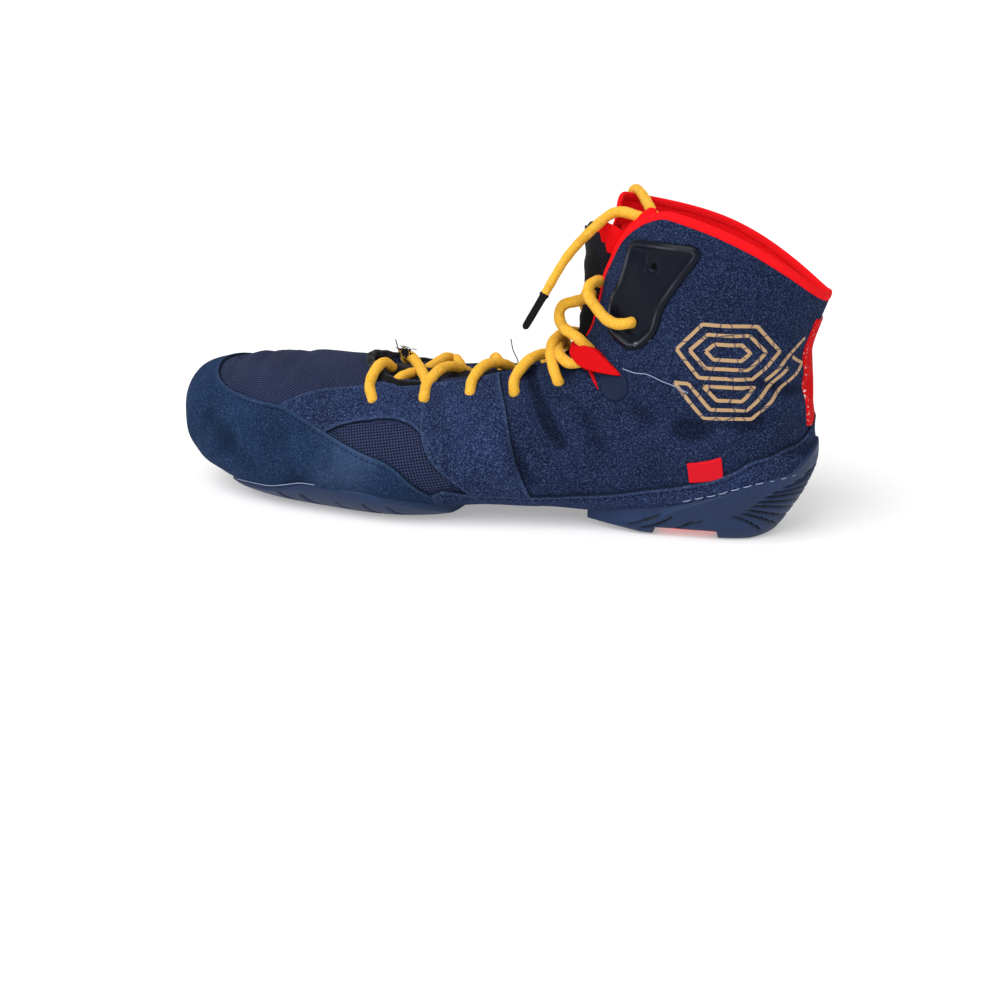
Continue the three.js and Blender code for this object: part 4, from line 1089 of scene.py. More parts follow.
# Runs of the lace in mm: eyelet it starts at, places on the way, eyelet it ends at.
# An eyelet is its number from the toe and its side; the numbers above 5 are in SIDE_PLACES.
LACE_RUNS = (
    ((0, -1), ((94.3, -26, 56.2), (95.0, -22, 61.1), (96.6, -17.5, 64.0), (98.0, -13.5, 63.8),
               (99.6, -9, 60.4)), None),
    ((0, 1), ((94.6, 25.4, 55.6), (95.4, 22, 59.2), (97, 17.5, 60.6), (99, 13, 58.6)), None),
    (None, ((98.6, 14.5, 57.5), (100, 11.5, 61), (102.2, 7, 62.9), (107.4, 0, 62.3), (113.6, -11, 60.8),
            (118.4, -20.5, 58.2)), (1, -1)),
    (None, ((103.6, -22.5, 54.5), (105.3, -18.5, 58.2), (108.2, -12, 59.2), (112, -3, 58.4), (115.6, 5, 60.2),
            (118.4, 12, 61.6), (119.6, 19, 59.4)), (1, 1)),
    ((1, -1), ((119.6, -23.5, 57.6), (122.1, -18, 62.2), (125.0, -12, 63.7), (128.3, -5, 62), (132, 2, 58.2),
               (135, 8, 55)), None),
    ((1, 1), ((119.4, 23.5, 56.4), (121.8, 18, 59.8), (126.0, 10, 59.4), (130, 2, 57.2), (134, -5, 54)), None),
    ((2, -1), ((139.3, -20.5, 61.4), (141.8, -14, 65.3), (144.9, -8, 66), (148.9, -1.5, 64.2), (153, 5, 60.3)), None),
    ((2, 1), ((139.2, 20.5, 60), (141.6, 14, 62.9), (145.5, 7, 61.9), (149, 0, 59.4), (152, -6, 55.5)), None),
    ((3, -1), ((157.6, -18.8, 62.7), (160.3, -14, 67.7), (163.9, -9, 70.6), (168.6, -3, 70.8), (173, 3, 66.8)), None),
    ((3, 1), ((157.5, 18.8, 61.4), (160.1, 14, 65.2), (164.5, 7, 65.9), (169, 0, 64.8), (172, -6, 60.5)), None),
    ((4, -1), ((174.0, -18.6, 70), (172.4, -15.5, 75.6), (173.2, -11.5, 79.6), (176.4, -4.5, 81.3),
               (179.5, 5, 79.6), (181.5, 14, 75), (184.5, 18.6, 72.5)), (6, 1)),
    ((4, 1), ((174.0, 18.6, 69.6), (172.2, 14.5, 74.2), (173.4, 8, 76.2), (174.8, -1, 76), (174.9, -9.5, 76.6),
              (175.9, -15.5, 75), (178.8, -18.4, 72.7), (182.6, -20.2, 71.8)), (6, -1)),
    ((7, -1), ((185.0, -18.9, 82.4), (181.8, -18, 84.1), (177.7, -16, 86.2),
               (175.6, -15, 89.4), (175.5, -14, 93.2), (177.4, -12.6, 95.6), (181.4, -10.5, 96.6), (186.2, -6, 98),
               (188.6, 3, 99.6), (189.4, 12, 101.4), (190.8, 19, 100.6), (193.4, 23, 97), (197.1, 26, 94),
               (201.2, 28.8, 92.9), (204.8, 30.4, 92.8)), (8, 1)),
    ((7, 1), ((185.6, 19.2, 81.0), (182.5, 16.5, 86.4), (181.5, 11, 92),
              (184.5, 4.5, 99), (189.6, -2, 103.6), (192.2, -8.5, 105.2), (190.8, -13.5, 106.6), (188.4, -18, 105.2),
              (188.6, -20.6, 101.6), (192.1, -23, 97.6), (197.1, -26.2, 93.6), (201.4, -28.8, 92.4),
              (204.8, -30.4, 92.8)), (8, -1)),
)
# Lace places beside the eyelets, in mm in the side view: below and above in the loop, and at the plate
SIDE_PLACES = {6: (190.4, 73.8), 7: (189.8, 77.6), 8: (208.4, 93.2)}


def eyelet_place(number, side, heights):
    if number in SIDE_PLACES:
        s, q = from_side(side, [SIDE_PLACES[number]])[0]
        heights = {6: (1.4, 0.0), 7: (0.0, 0.9), 8: (3.0, -1.0)}[number]
        return on_upper([(s, q, height) for height in heights])
    s, q = EYELETS[number]
    return on_upper([(s, side * q, height) for height in heights])


class SHOE_OT_crossings(bpy.types.Operator):
    """Laces the shoe from the toe eyelets up to the lace plates"""
    bl_idname = "shoe.crossings"
    bl_label = "Lace crossings"

    def execute(self, context):
        pieces = []
        for k, (start, middle, end) in enumerate(LACE_RUNS):
            parts = [np.array(middle, float)]
            if start:
                parts.insert(0, eyelet_place(*start, (-2.4, 0.4)))
            if end:
                parts.append(eyelet_place(*end, (1.2, -2.4)))
            path = smooth_path(np.vstack(parts))
            thin = np.full(len(path), size_of("lace") / 2 * PULLED_TIGHT)
            pieces.append(lace_piece(f"lace_run_{k}", path, finishes()["lace"], thin))
        laces = joined("laces", pieces)
        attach(laces, "root")
        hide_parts("lace_crossings")
        return {"FINISHED"}


# Upper
def upper_rows():
    front = np.linspace(0, THROAT_START, 92)
    fans = np.concatenate([np.linspace(5.29, 5.6, 8), np.linspace(5.66, 8.9, 62), np.linspace(8.95, 14, 104)])
    return np.concatenate([front, fans])


class SHOE_OT_upper(bpy.types.Operator):
    """Makes the upper: knit vamp, mesh windows, suede quarter and red lining in one wall"""
    bl_idname = "shoe.upper"
    bl_label = "Upper"

    def execute(self, context):
        rows = upper_rows()
        half = np.linspace(0, 1, 66)
        gap, far_gap = throat_share(rows), throat_share(rows, 1)
        near = -(gap[:, None] + (1 - gap[:, None]) * half[None])
        far = (far_gap[:, None] + (1 - far_gap[:, None]) * half[None])[:, ::-1][:, 1:]
        s = np.broadcast_to(rows[:, None], (len(rows), 2 * len(half) - 1))
        q = np.concatenate([near, far], axis=1)
        outer = surface(s, q)
        inner = surface(s, q, -WALL)
        columns = outer.shape[1]
        places = wrapped(outer, inner)[1:]
        flat = wrapped_values(flat_place(s, q))[1:]
        lined = np.zeros((places.shape[0] - 1, places.shape[1] - 1), int)
        at = np.concatenate([s, s[:, ::-1], s[:, :1]], axis=1)
        at = np.concatenate([at, at[-1:]])[:-1, :-1]
        share = np.abs(np.concatenate([q, q[:, ::-1], q[:, :1]], axis=1))
        share = np.concatenate([share, share[-1:]])[:-1, :-1]
        lined[(share > 0.335) & (at > 5.2)] = 1
        lined[at > 6.66] = 2
        lined[:, columns:2 * columns - 1] = np.where(at[:, columns:2 * columns - 1] > 7, 3, 4)
        closed = rows[1:] <= THROAT_START + 1e-6
        dropped = np.zeros(lined.shape, bool)
        dropped[:-1][closed, columns - 1] = True
        dropped[:-1][closed, -1] = True
        # The creases' depth, which the suede finishes turn into painted shade.
        crease_shade = wrapped_values(relief(s, q))[1:]
        piece = grid_piece("upper_wall", places, flat, None, dropped, lined, 60, crease_shade)
        kit = finishes()
        for key in ("knit", "window", "suede", "lining", "tongue"):
            piece.data.materials.append(kit[key])
        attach(piece, "root")
        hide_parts("upper")
        return {"FINISHED"}


# Toe cap edges on the nearer side: section and share of the half girth
TOE_CAP_TOP = (
    (6.64, 0.74), (6.55, 0.655), (6.35, 0.59), (6.15, 0.528), (5.95, 0.486), (5.6, 0.458), (5.3, 0.432),
    (4.95, 0.395), (4.65, 0.36), (4.38, 0.335), (4.05, 0.325), (3.55, 0.3), (3.03, 0.245), (2.62, 0.11), (2.52, 0.0),
)
TOE_CAP_LOW = ((6.62, 0.82), (5.5, 0.80), (4.5, 0.79), (3.6, 0.78), (2.8, 0.80), (2.3, 0.88), (2.15, 1.0))


def toe_plane(points):
    """Sections and shares near the toe, as a plane with the tip at its origin."""
    table = np.array(points)
    turn = np.pi * table[:, 1]
    return np.stack([table[:, 0] * np.cos(turn), table[:, 0] * np.sin(turn)], -1)


def toe_grid(pitch=1.35):
    """The toe cap's grid, worked out on the plane so that it runs smoothly over the tip."""
    near_top = toe_plane([(s, -q) for s, q in TOE_CAP_TOP])
    far_top = toe_plane(TOE_CAP_TOP)[::-1][1:]
    near_low = toe_plane([(s, -q) for s, q in TOE_CAP_LOW])
    far_low = toe_plane(TOE_CAP_LOW)[::-1][1:]
    top = spline(np.vstack([near_top, far_top]), 400, (1, 1))
    low = spline(np.vstack([near_low, far_low]), 400, (1, 1))
    u, v = graded(330, pitch), graded(75, pitch)
    pick = lambda curve: np.stack([np.interp(u, np.linspace(0, 1, 400), curve[:, c]) for c in (0, 1)], -1)
    plane = pick(low)[None] + v[:, None, None] * (pick(top) - pick(low))[None]
    s = np.hypot(plane[..., 0], plane[..., 1])
    q = np.arctan2(plane[..., 1], plane[..., 0]) / np.pi
    return np.stack([s, q], -1)


EYESTAY_TOP = (
    (4.3, 0.335), (4.58, 0.28), (4.85, 0.24), (5.15, 0.221), (5.38, 0.205), (5.56, 0.174), (5.75, 0.17), (6.1, 0.17),
    (6.5, 0.136),
)
EYESTAY_LOW = (
    (5.0, 0.425), (5.25, 0.382), (5.53, 0.352), (5.83, 0.334), (6.03, 0.337), (6.23, 0.366), (6.42, 0.43),
    (6.6, 0.53),
)
SADDLE_FRONT = (
    (6.12, 0.166), (6.19, 0.215), (6.24, 0.29), (6.29, 0.376), (6.42, 0.472), (6.6, 0.545), (6.85, 0.64), (7.0, 0.76),
)
SADDLE_BACK = (
    (7.22, 0.09), (7.3, 0.187), (7.38, 0.27), (7.43, 0.357), (7.48, 0.491), (7.53, 0.60), (7.57, 0.68), (7.6, 0.78),
)
FOXING_TOP = (
    (6.45, 0.62), (6.58, 0.60), (6.8, 0.628), (7.1, 0.655), (7.9, 0.677), (8.9, 0.66), (9.62, 0.656), (10.1, 0.672),
    (10.6, 0.707), (11.1, 0.79), (11.62, 0.928), (11.78, 0.985),
)


def mirrored(points, side):
    return [(s, side * q) for s, q in points]


def under_grid(top, pitch, start, end, close=True):
    """A grid that runs under the foot between both sides' top edges."""
    table = np.array(top)
    middle = np.interp((start + end) / 2, table[:, 0], table[:, 1])
    s = start + (end - start) * graded(np.ptp(np.interp([start, end], STATIONS, WALKED)) * 1.3, pitch)
    edge = np.interp(s, table[:, 0], table[:, 1])
    breadth = 2 * (1 - middle) * float(girth_at((start + end) / 2))
    t = graded(breadth, pitch)
    q = -(edge[:, None] + (2 - 2 * edge[:, None]) * t[None])
    return np.stack([np.broadcast_to(s[:, None], q.shape), q], -1)


def lipped(s, q, distance):
    """A seam's raised lip beside its edge, with the dent of the stitches behind it."""
    return 0.28 * np.exp(-(((distance - 1.0) / 0.7) ** 2)) - 0.3 * np.exp(-(((distance - 2.6) / 0.7) ** 2))


class SHOE_OT_panels(bpy.types.Operator):
    """Sews on the toe cap, eyestays, saddles and foxing"""
    bl_idname = "shoe.panels"
    bl_label = "Panels"

    def execute(self, context):
        kit = finishes()
        thick = size_of("panel")
        toe = panel("toe_cap_suede", toe_grid(), thick + 0.15, kit["toe"], lipped)
        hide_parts("toe_cap")
        foxing = panel("foxing", under_grid(FOXING_TOP, 1.3, 6.45, 11.76), thick + 0.1, kit["panel"], lipped)
        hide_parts("foxing_band")
        for side, word in ((-1, "lateral"), (1, "medial")):
            stay = coons(mirrored(EYESTAY_LOW, side), mirrored(EYESTAY_TOP, side), 1.2)
            panel(f"eyestay_{word}", stay, thick - 0.1, kit["panel"], lipped)
            grid = coons(mirrored(SADDLE_FRONT, side), mirrored(SADDLE_BACK, side), 1.2)
            saddle = panel(f"saddle_panel_{word}", grid, thick + 0.1, kit["panel"], lipped)
            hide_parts(f"saddle_{word}")
        return {"FINISHED"}


# Soles, in mm in the side view
FOREFOOT_EDGE = (
    (30, 9.6), (34, 9.6), (41, 10.0), (52, 11.0), (60, 12.6), (68, 14.2), (76, 15.2), (86, 15.4), (98, 14.8),
    (114, 12.8), (131, 9.4), (140, 5),
)
FOREFOOT_BOTTOM = (
    (30, 6.2), (34.4, 5.1), (48.1, 2.3), (59, 0.5), (64.8, 0), (115.2, 0), (125.9, 1.0), (134.2, 3.4), (142, 6.5),
)
HEEL_EDGE = ((190, 8.3), (200, 9.9), (221, 13.6), (242, 20.6), (262, 27.7), (278, 32.8), (287, 41.5), (296, 52))
HEEL_BOTTOM = (
    (190, 4.6), (199.9, 3.3), (210.2, 1.6), (218.9, 0.4), (224.6, 0), (263.5, 0), (273, 1.1), (279.9, 5), (284, 10),
    (289.2, 20.5), (293.8, 32), (300, 46),
)
PAD_RANGE = (222.4, 249.2)
PAD_HEIGHT = 4.2
# Sipes of the soles: two ends in the side view, how far the line bows, its half width and depth
HEEL_SIPES = (
    (204, 6.2, 218, 11.4, 0.8, 0.55, 0.8), (210, 4.4, 226, 11.2, 1.0, 0.62, 1.1),
    (215.5, 3.0, 231, 10.6, 1.2, 0.66, 1.2),
    (224, 1.6, 240, 9.0, 1.2, 0.62, 1.1), (236.5, 6.4, 244, 9.6, 0.4, 0.5, 0.7),
    (254, 12.5, 268, 3.4, -1.5, 0.6, 1.1), (258, 13.8, 275, 3.6, -1.8, 0.62, 1.3),
    (260, 15.4, 281, 6.0, -1.6, 0.62, 1.3),
    (262, 17.4, 286, 10.6, -1.3, 0.62, 1.3), (264, 19.2, 289, 15.2, -0.9, 0.6, 1.3),
    (267, 21.2, 291, 19.8, -0.5, 0.6, 1.3), (270, 23.2, 293, 24.2, 0.1, 0.58, 1.3),
    (274, 25.4, 294, 28.6, 0.4, 0.56, 1.2),
    (279, 27.2, 295, 32.6, 0.6, 0.58, 1.4), (283, 29.8, 296, 37.4, 0.5, 0.55, 1.2),
)
FOREFOOT_SIPES = (
    (56, 9.0, 63.5, 2.6, 1.0, 0.6, 1.2), (67, 9.6, 76, 2.0, 1.2, 0.66, 1.3), (97, 8.8, 104, 1.4, 0.9, 0.6, 1.2),
    (108, 8.6, 115, 1.2, 0.9, 0.55, 1.1), (84, 8.0, 89, 2.6, 0.7, 0.45, 0.6),
)


def sipe_depth(x, z, sipes):
    total = np.zeros(x.shape)
    here_now = np.stack([x, z], -1)
    for x0, z0, x1, z1, bow, half, depth in sipes:
        start, end = np.array([x0, z0]), np.array([x1, z1])
        way = end - start
        length = np.linalg.norm(way)
        across = np.array([-way[1], way[0]]) / length
        share = ((here_now - start) @ way) / length**2
        off = (here_now - start) @ across + bow * 4 * share * (1 - share)
        taper = np.clip(np.minimum(share * 6, (1 - share) * 9), 0, 1)
        total = np.maximum(total, depth * taper * np.exp(-((off / half) ** 4)))
    return total


def sole_edge(line, s, start=0.3):
    """The share of the half girth where the form passes under a line in the side view."""
    q = np.linspace(start, 1, 400)
    places = surface(s[:, None], -q[None], 0.8, worn=False)
    under = places[..., 2] - np.interp(places[..., 0], *np.array(line).T)
    found = np.full(len(s), 0.995)
    for k in range(len(s)):
        below = np.nonzero(under[k] < 0)[0]
        if len(below) and below[0] > 0:
            a, b = below[0] - 1, below[0]
            f = under[k, a] / (under[k, a] - under[k, b])
            found[k] = q[a] + f * (q[b] - q[a])
        elif len(below):
            found[k] = q[0]
    return found


def sole(name, node, line, bottom, start, end, from_z, stretch, sipes, pitch=0.95, pad=None, swell=0.0):
    """A rubber sole: the form swelled, drawn down to the floor and cut by its sipes."""
    s = start + (end - start) * graded(float(np.ptp(np.interp([start, end], STATIONS, WALKED))) * 1.4, pitch)
    edge = sole_edge(line, s)
    wide = 2 * (1 - edge.min()) * float(girth_at((start + end) / 2))
    t = graded(wide, pitch)
    q = -(edge[:, None] + (2 - 2 * edge[:, None]) * t[None])
    s = np.broadcast_to(s[:, None], q.shape)
    wall = size_of("rubber")

    def drawn(places):
        z = places[..., 2]
        places[..., 2] = np.where(z < from_z, from_z - (from_z - z) * stretch, z)
        return places

    ground = drawn(surface(s, q, 0.4, worn=False))
    distance = edge_distance(ground, thicker(border(ground)))
    height = 0.5 + rounded(distance, wall - 0.5, 1.0)
    fuller = swell * np.exp(-(((ground[..., 2] - 5) / 6) ** 2)) * np.clip((ground[..., 0] - 196) / 20, 0, 1)
    height = height + fuller * np.clip((284 - ground[..., 0]) / 22, 0, 1)
    outer = drawn(surface(s, q, height, worn=False))
    sipe_cut_and_shade = sipe_depth(outer[..., 0], outer[..., 2], sipes)
    outer = drawn(surface(s, q, height - sipe_cut_and_shade, worn=False))
    low = np.interp(outer[..., 0], *np.array(bottom).T)
    if pad:
        inside = (outer[..., 0] > PAD_RANGE[0] - 0.4) & (outer[..., 0] < PAD_RANGE[1] + 0.4)
        low = np.where(inside, PAD_HEIGHT, low)
    soft = 1.4
    drop = outer[..., 2] - low
    outer[..., 2] = low + np.where(drop > soft, drop, np.where(drop < -soft, 0, (drop + soft) ** 2 / (4 * soft)))
    inner = surface(s, q, 0.25, worn=False)
    inner[..., 2] = np.maximum(inner[..., 2], outer[..., 2] + 0.1 * (inner[..., 2] < outer[..., 2]))
    # The sipes' depth goes on as the edge attribute, which the rubber finish turns into painted shade.
    piece = grid_piece(
        name, wrapped(outer, inner), wrapped_values(flat_place(s, q)), wrapped_values(sipe_cut_and_shade), angle=40,
    )
    piece.data.materials.append(finishes()["rubber"])
    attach(piece, "root")
    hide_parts(node)
    return piece


class SHOE_OT_soles(bpy.types.Operator):
    """Moulds the forefoot and heel rubber"""
    bl_idname = "shoe.soles"
    bl_label = "Soles"

    def execute(self, context):
        sole("forefoot_rubber", "forefoot_outsole", FOREFOOT_EDGE, FOREFOOT_BOTTOM, 3.25, 6.72, 14.0, 1.45,
             FOREFOOT_SIPES)
        sole("heel_rubber", "heel_outsole", HEEL_EDGE, HEEL_BOTTOM, 8.1, 11.44, 26.0, 1.28, HEEL_SIPES, 0.75,
             True, 3.0)
        for name, key, slot in (("insole", "board", "board"), ("heel_insert", "pad", "red_rubber")):
            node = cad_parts[name]
            node.data.materials.clear()
            node.data.materials.append(finishes()[key])
        return {"FINISHED"}


# Plates, loops, discs and tab, as shares of length and collar height in the side view
PLATE = (
    (0.7206, 0.9255), (0.8063, 0.928), (0.8166, 0.915), (0.817, 0.891), (0.7885, 0.8007), (0.7698, 0.7345),
    (0.7608, 0.6538), (0.7396, 0.6029), (0.716, 0.592), (0.6816, 0.6364), (0.6861, 0.7309), (0.7042, 0.8284),
    (0.712, 0.905),
)
PLATE_DIMPLE = (12.75, 0.29)


def loop_form(s, q, distance):
    """The webbing stands off the upper toward its wide end, over the lace inside it."""
    x = surface(s, q, 0, worn=False)[..., 0]
    ribs = 0.12 * np.sin(flat_place(s, q)[..., 0] * 2.2) * np.clip(distance / 2, 0, 1)
    return ribs + 4.6 * np.clip((203 - x) / 15, 0, 1) ** 1.2


def plate_form(s, q, distance):
    """A raised rim inside the edge, a dimple and the lace's hole."""
    total = 0.7 * np.exp(-(((distance - 2.3) / 0.8) ** 2)) - 0.4 * (1 / (1 + np.exp(-(distance - 3.6) / 0.5)))
    here_now = flat_place(s, np.abs((q + 1) % 2 - 1))
    for (ds, dq), deep, wide in ((PLATE_DIMPLE, 0.5, 2.3), (PLATE_EYELET, 0.7, 2.6)):
        spot = flat_place(np.array(ds), np.array(dq))
        off = np.linalg.norm(here_now - spot, axis=-1)
        total = total - deep * np.exp(-((off / wide) ** 4))
    return total


LOOP = ((0.7165, 0.512), (0.656, 0.505), (0.640, 0.523), (0.6475, 0.57), (0.674, 0.576))
LOOP_TAIL = ((0.6585, 0.508), (0.665, 0.509), (0.678, 0.468), (0.6764, 0.465))
DISC_CENTRE = (0.7033, 0.48)
DISC_WIDTH = 12.4
# Corners of the tab on the pattern: section and share
TAB = ((9.83, -0.587), (10.35, -0.633), (10.12, -0.683), (9.62, -0.653))
BACK_STRIP = (11.62, 13.62, 0.905)


def side_shape(side, shares):
    """An outline given in shares of length and collar height, on the pattern."""
    return from_side(side, np.array(shares) * (LENGTH, COLLAR_HEIGHT))


def square_loop(corners, per=6, rounding=0.12):
    """A closed outline with straight sides and small round corners."""
    corners = np.array(corners)
    out = []
    for k in range(len(corners)):
        before, corner, after = corners[k - 1], corners[k], corners[(k + 1) % len(corners)]
        a, b = corner + (before - corner) * rounding, corner + (after - corner) * rounding
        out += [a, (a + 2 * corner + b) / 4, b]
        out += [b + (after + (corner - after) * rounding - b) * f for f in np.linspace(0, 1, per)[1:-1]]
    return np.array(out)


class SHOE_OT_trim(bpy.types.Operator):
    """Adds the glossy lace plates, red loops, discs, side tab and back strip"""
    bl_idname = "shoe.trim"
    bl_label = "Trim"

    def execute(self, context):
        kit = finishes()
        for side, word in ((-1, "lateral"), (1, "medial")):
            outline = square_loop(np.array(PLATE) * (LENGTH, COLLAR_HEIGHT), 5, 0.3)
            plate = plaque(f"lace_plate_cover_{word}", from_side(side, outline), 1.15, kit["plate"], plate_form, 34,
                           count=170)
            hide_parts(f"lace_plate_{word}")
            turn = np.linspace(0, 2 * math.pi, 28, endpoint=False)
            # A near-black disc in the plate's dimple: painted shade standing in for its hole.
            hole = surface(np.array(PLATE_DIMPLE[0]), np.array(side * PLATE_DIMPLE[1]))[[0, 2]]
            hole = hole + 1.35 * np.stack([np.cos(turn), np.sin(turn)], -1)
            plaque(f"plate_hole_shade_{word}", from_side(side, hole), 0.25, kit["hole"], None, 4, base=0.3, count=28)
            middle = np.array(DISC_CENTRE) * (LENGTH, COLLAR_HEIGHT)
            disc = middle + DISC_WIDTH / 2 * np.stack([np.cos(turn), np.sin(turn)], -1)
            cover = plaque(f"lace_disc_cover_{word}", from_side(side, disc), 0.8, kit["disc"], None, 14)
            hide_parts(f"lace_disc_{word}")
            outline = square_loop(np.array(LOOP) * (LENGTH, COLLAR_HEIGHT), 5, 0.16)
            loop = plaque(f"lace_loop_webbing_{word}", from_side(side, outline), 1.3, kit["webbing"], loop_form,
                          16, base=1.0)
            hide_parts(f"lace_loop_{word}")
            plaque(f"lace_loop_tail_{word}", side_shape(side, LOOP_TAIL), 0.7, kit["webbing"], None, 6, base=0.2)
        tab = plaque("side_label", square_loop(TAB, 6, 0.08), 1.0, kit["label"], None, 12, radius=0.5, base=0.35)
        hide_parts("side_tab")
        first, last, share = BACK_STRIP
        low = [(s, -share) for s in np.linspace(first, last, 5)]
        high = [(s, -2 + share) for s in np.linspace(first, last, 5)]
        strip = panel("back_mesh", coons(low, high, 1.2), 0.9, kit["strip"])
        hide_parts("back_strip")
        return {"FINISHED"}


# Binding and tongue
BINDING_START = 9.6


def binding_line():
    up = np.concatenate([np.linspace(BINDING_START, 13.4, 60), np.linspace(13.42, 14, 24)])
    gap, far_gap = throat_share(up), throat_share(up, 1)
    round_q = np.linspace(float(gap[-1]), 2 - float(far_gap[-1]), 190)[1:-1]
    s = np.concatenate([up, np.full(len(round_q), TOP), up[::-1]])
    q = np.concatenate([-gap, -round_q, -(2 - far_gap[::-1])])
    return s, q


class SHOE_OT_binding(bpy.types.Operator):
    """Folds the red binding over the collar and down the throat"""
    bl_idname = "shoe.binding"
    bl_label = "Binding"

    def execute(self, context):
        s, q = binding_line()
        edge = surface(s, q, -WALL / 2)
        for _ in range(3):
            edge[1:-1] = (edge[:-2] + 2 * edge[1:-1] + edge[2:]) / 4
        along = unit(np.gradient(edge, axis=0))
        normal = unit(read(NORMALS, s, q))
        away = unit(np.cross(along, normal))
        inside = surface(np.minimum(s, TOP - 1), np.where((q > -1), -0.6, -1.4), 0, worn=False)
        away *= np.where(((inside - edge) * away).sum(-1, keepdims=True) > 0, -1, 1)
        for _ in range(6):
            away[1:-1] = unit(away[:-2] + away[1:-1] + away[2:])
            normal[1:-1] = unit(normal[:-2] + normal[1:-1] + normal[2:])
        turn = np.linspace(0, 2 * math.pi, 25)
        tall, thick = BINDING_HEIGHT / 2, BINDING_THICKNESS / 2
        walked = np.concatenate([[0], np.cumsum(np.linalg.norm(np.diff(edge, axis=0), axis=1))])
        swell = 1 + 0.03 * np.sin(walked / 3.1) + 0.02 * np.sin(walked / 1.3)
        narrow = np.clip((np.minimum(walked, walked[-1] - walked) + 4) / 30, 0.35, 1)
        middle = edge + away * (tall - 0.9)
        out = np.sign(np.cos(turn)) * np.abs(np.cos(turn)) ** 0.75
        side = np.sign(np.sin(turn)) * np.abs(np.sin(turn)) ** 0.8
        places = (
            middle[:, None]
            + away[:, None] * out[None, :, None] * (tall * narrow)[:, None, None]
            + normal[:, None] * side[None, :, None] * ((thick + 0.25) * swell)[:, None, None]
        )
        ends = [np.repeat(middle[k][None, None], len(turn), 1) for k in (0, -1)]
        places = np.concatenate([ends[0], places, ends[1]])
        lengths = np.concatenate([[0], walked, [walked[-1]]])
        flat = np.stack(np.broadcast_arrays(lengths[:, None], turn[None] * 1.6), -1)
        band = grid_piece("binding_tape", places, flat, angle=80)
        band.data.materials.append(finishes()["binding"])
        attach(band, "root")
        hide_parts("collar_binding")
        flap_lining(-1, "near")
        flap_lining(1, "far")
        return {"FINISHED"}


TONGUE_RISE = np.array(
    (
        (5.1, -0.028), (5.6, -0.015), (6.5, -0.02), (8, -0.02), (9, 0.02), (10, 0.055), (11, 0.065), (12, 0.095),
        (13, 0.14), (13.25, 0.145),
    )
)


def tongue_places(s, share, depth):
    girth = girth_at(s)
    reach = share * TONGUE_WIDTH / 2
    under = -WALL - 0.85
    free = np.where(share < 0, throat_share(s), throat_share(s, 1)) * girth - BINDING_HEIGHT - 1.8
    free = np.maximum(free, 1.5)
    full = np.interp(s, [10.6, 12.2], [2.0, 1.25])
    lift = np.where(np.abs(reach) < free, np.cos(np.pi / 2 * np.clip(reach / free, -1, 1)) ** full, 0)
    rise = np.maximum(np.interp(s, *TONGUE_RISE.T) * BALL_WIDTH - under, 0)
    soft = 0.25 * np.sin(reach * 0.9 + s * 2) * np.sin(s * 9 + reach * 0.3)
    return surface(s, reach / girth, under + rise * lift - depth + soft * lift, worn=False)


def flap_lining(side, word):
    """The red lining that rolls out beside the tongue at the top of a flap."""
    s = np.linspace(11.0, 13.85, 70)
    q = side * throat_share(s, side)
    edge = surface(s, q, -WALL / 2)
    along = unit(np.gradient(edge, axis=0))
    normal = unit(read(NORMALS, s, q))
    away = unit(np.cross(along, normal))
    inside = surface(s, q + side * 0.1, -WALL / 2)
    away *= np.where(((inside - edge) * away).sum(-1, keepdims=True) > 0, -1, 1)
    width = np.interp(s, [11.0, 11.8, 12.5, 13.2, 13.7, 13.85], [0.6, 2.0, 4.6, 7.4, 7.6, 5.4])
    t = np.concatenate([[0], np.linspace(0.03, 0.97, 14), [1]])
    reach = (t[None] * (width[:, None] + 1.2) - 1.2)[..., None]
    drop = (0.3 + 0.12 * np.maximum(reach, 0) ** 1.1) - 0.5 * np.sin(np.pi * t)[None, :, None]
    outer = edge[:, None] + away[:, None] * reach - normal[:, None] * drop
    inner = outer - normal[:, None] * 0.8
    flat = np.stack(np.broadcast_arrays(s[:, None] * 14, t[None] * 8), -1)
    roll = grid_piece(f"flap_lining_{word}", wrapped(outer, inner), wrapped_values(flat), angle=80)
    roll.data.materials.append(finishes()["lining"])
    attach(roll, "root")


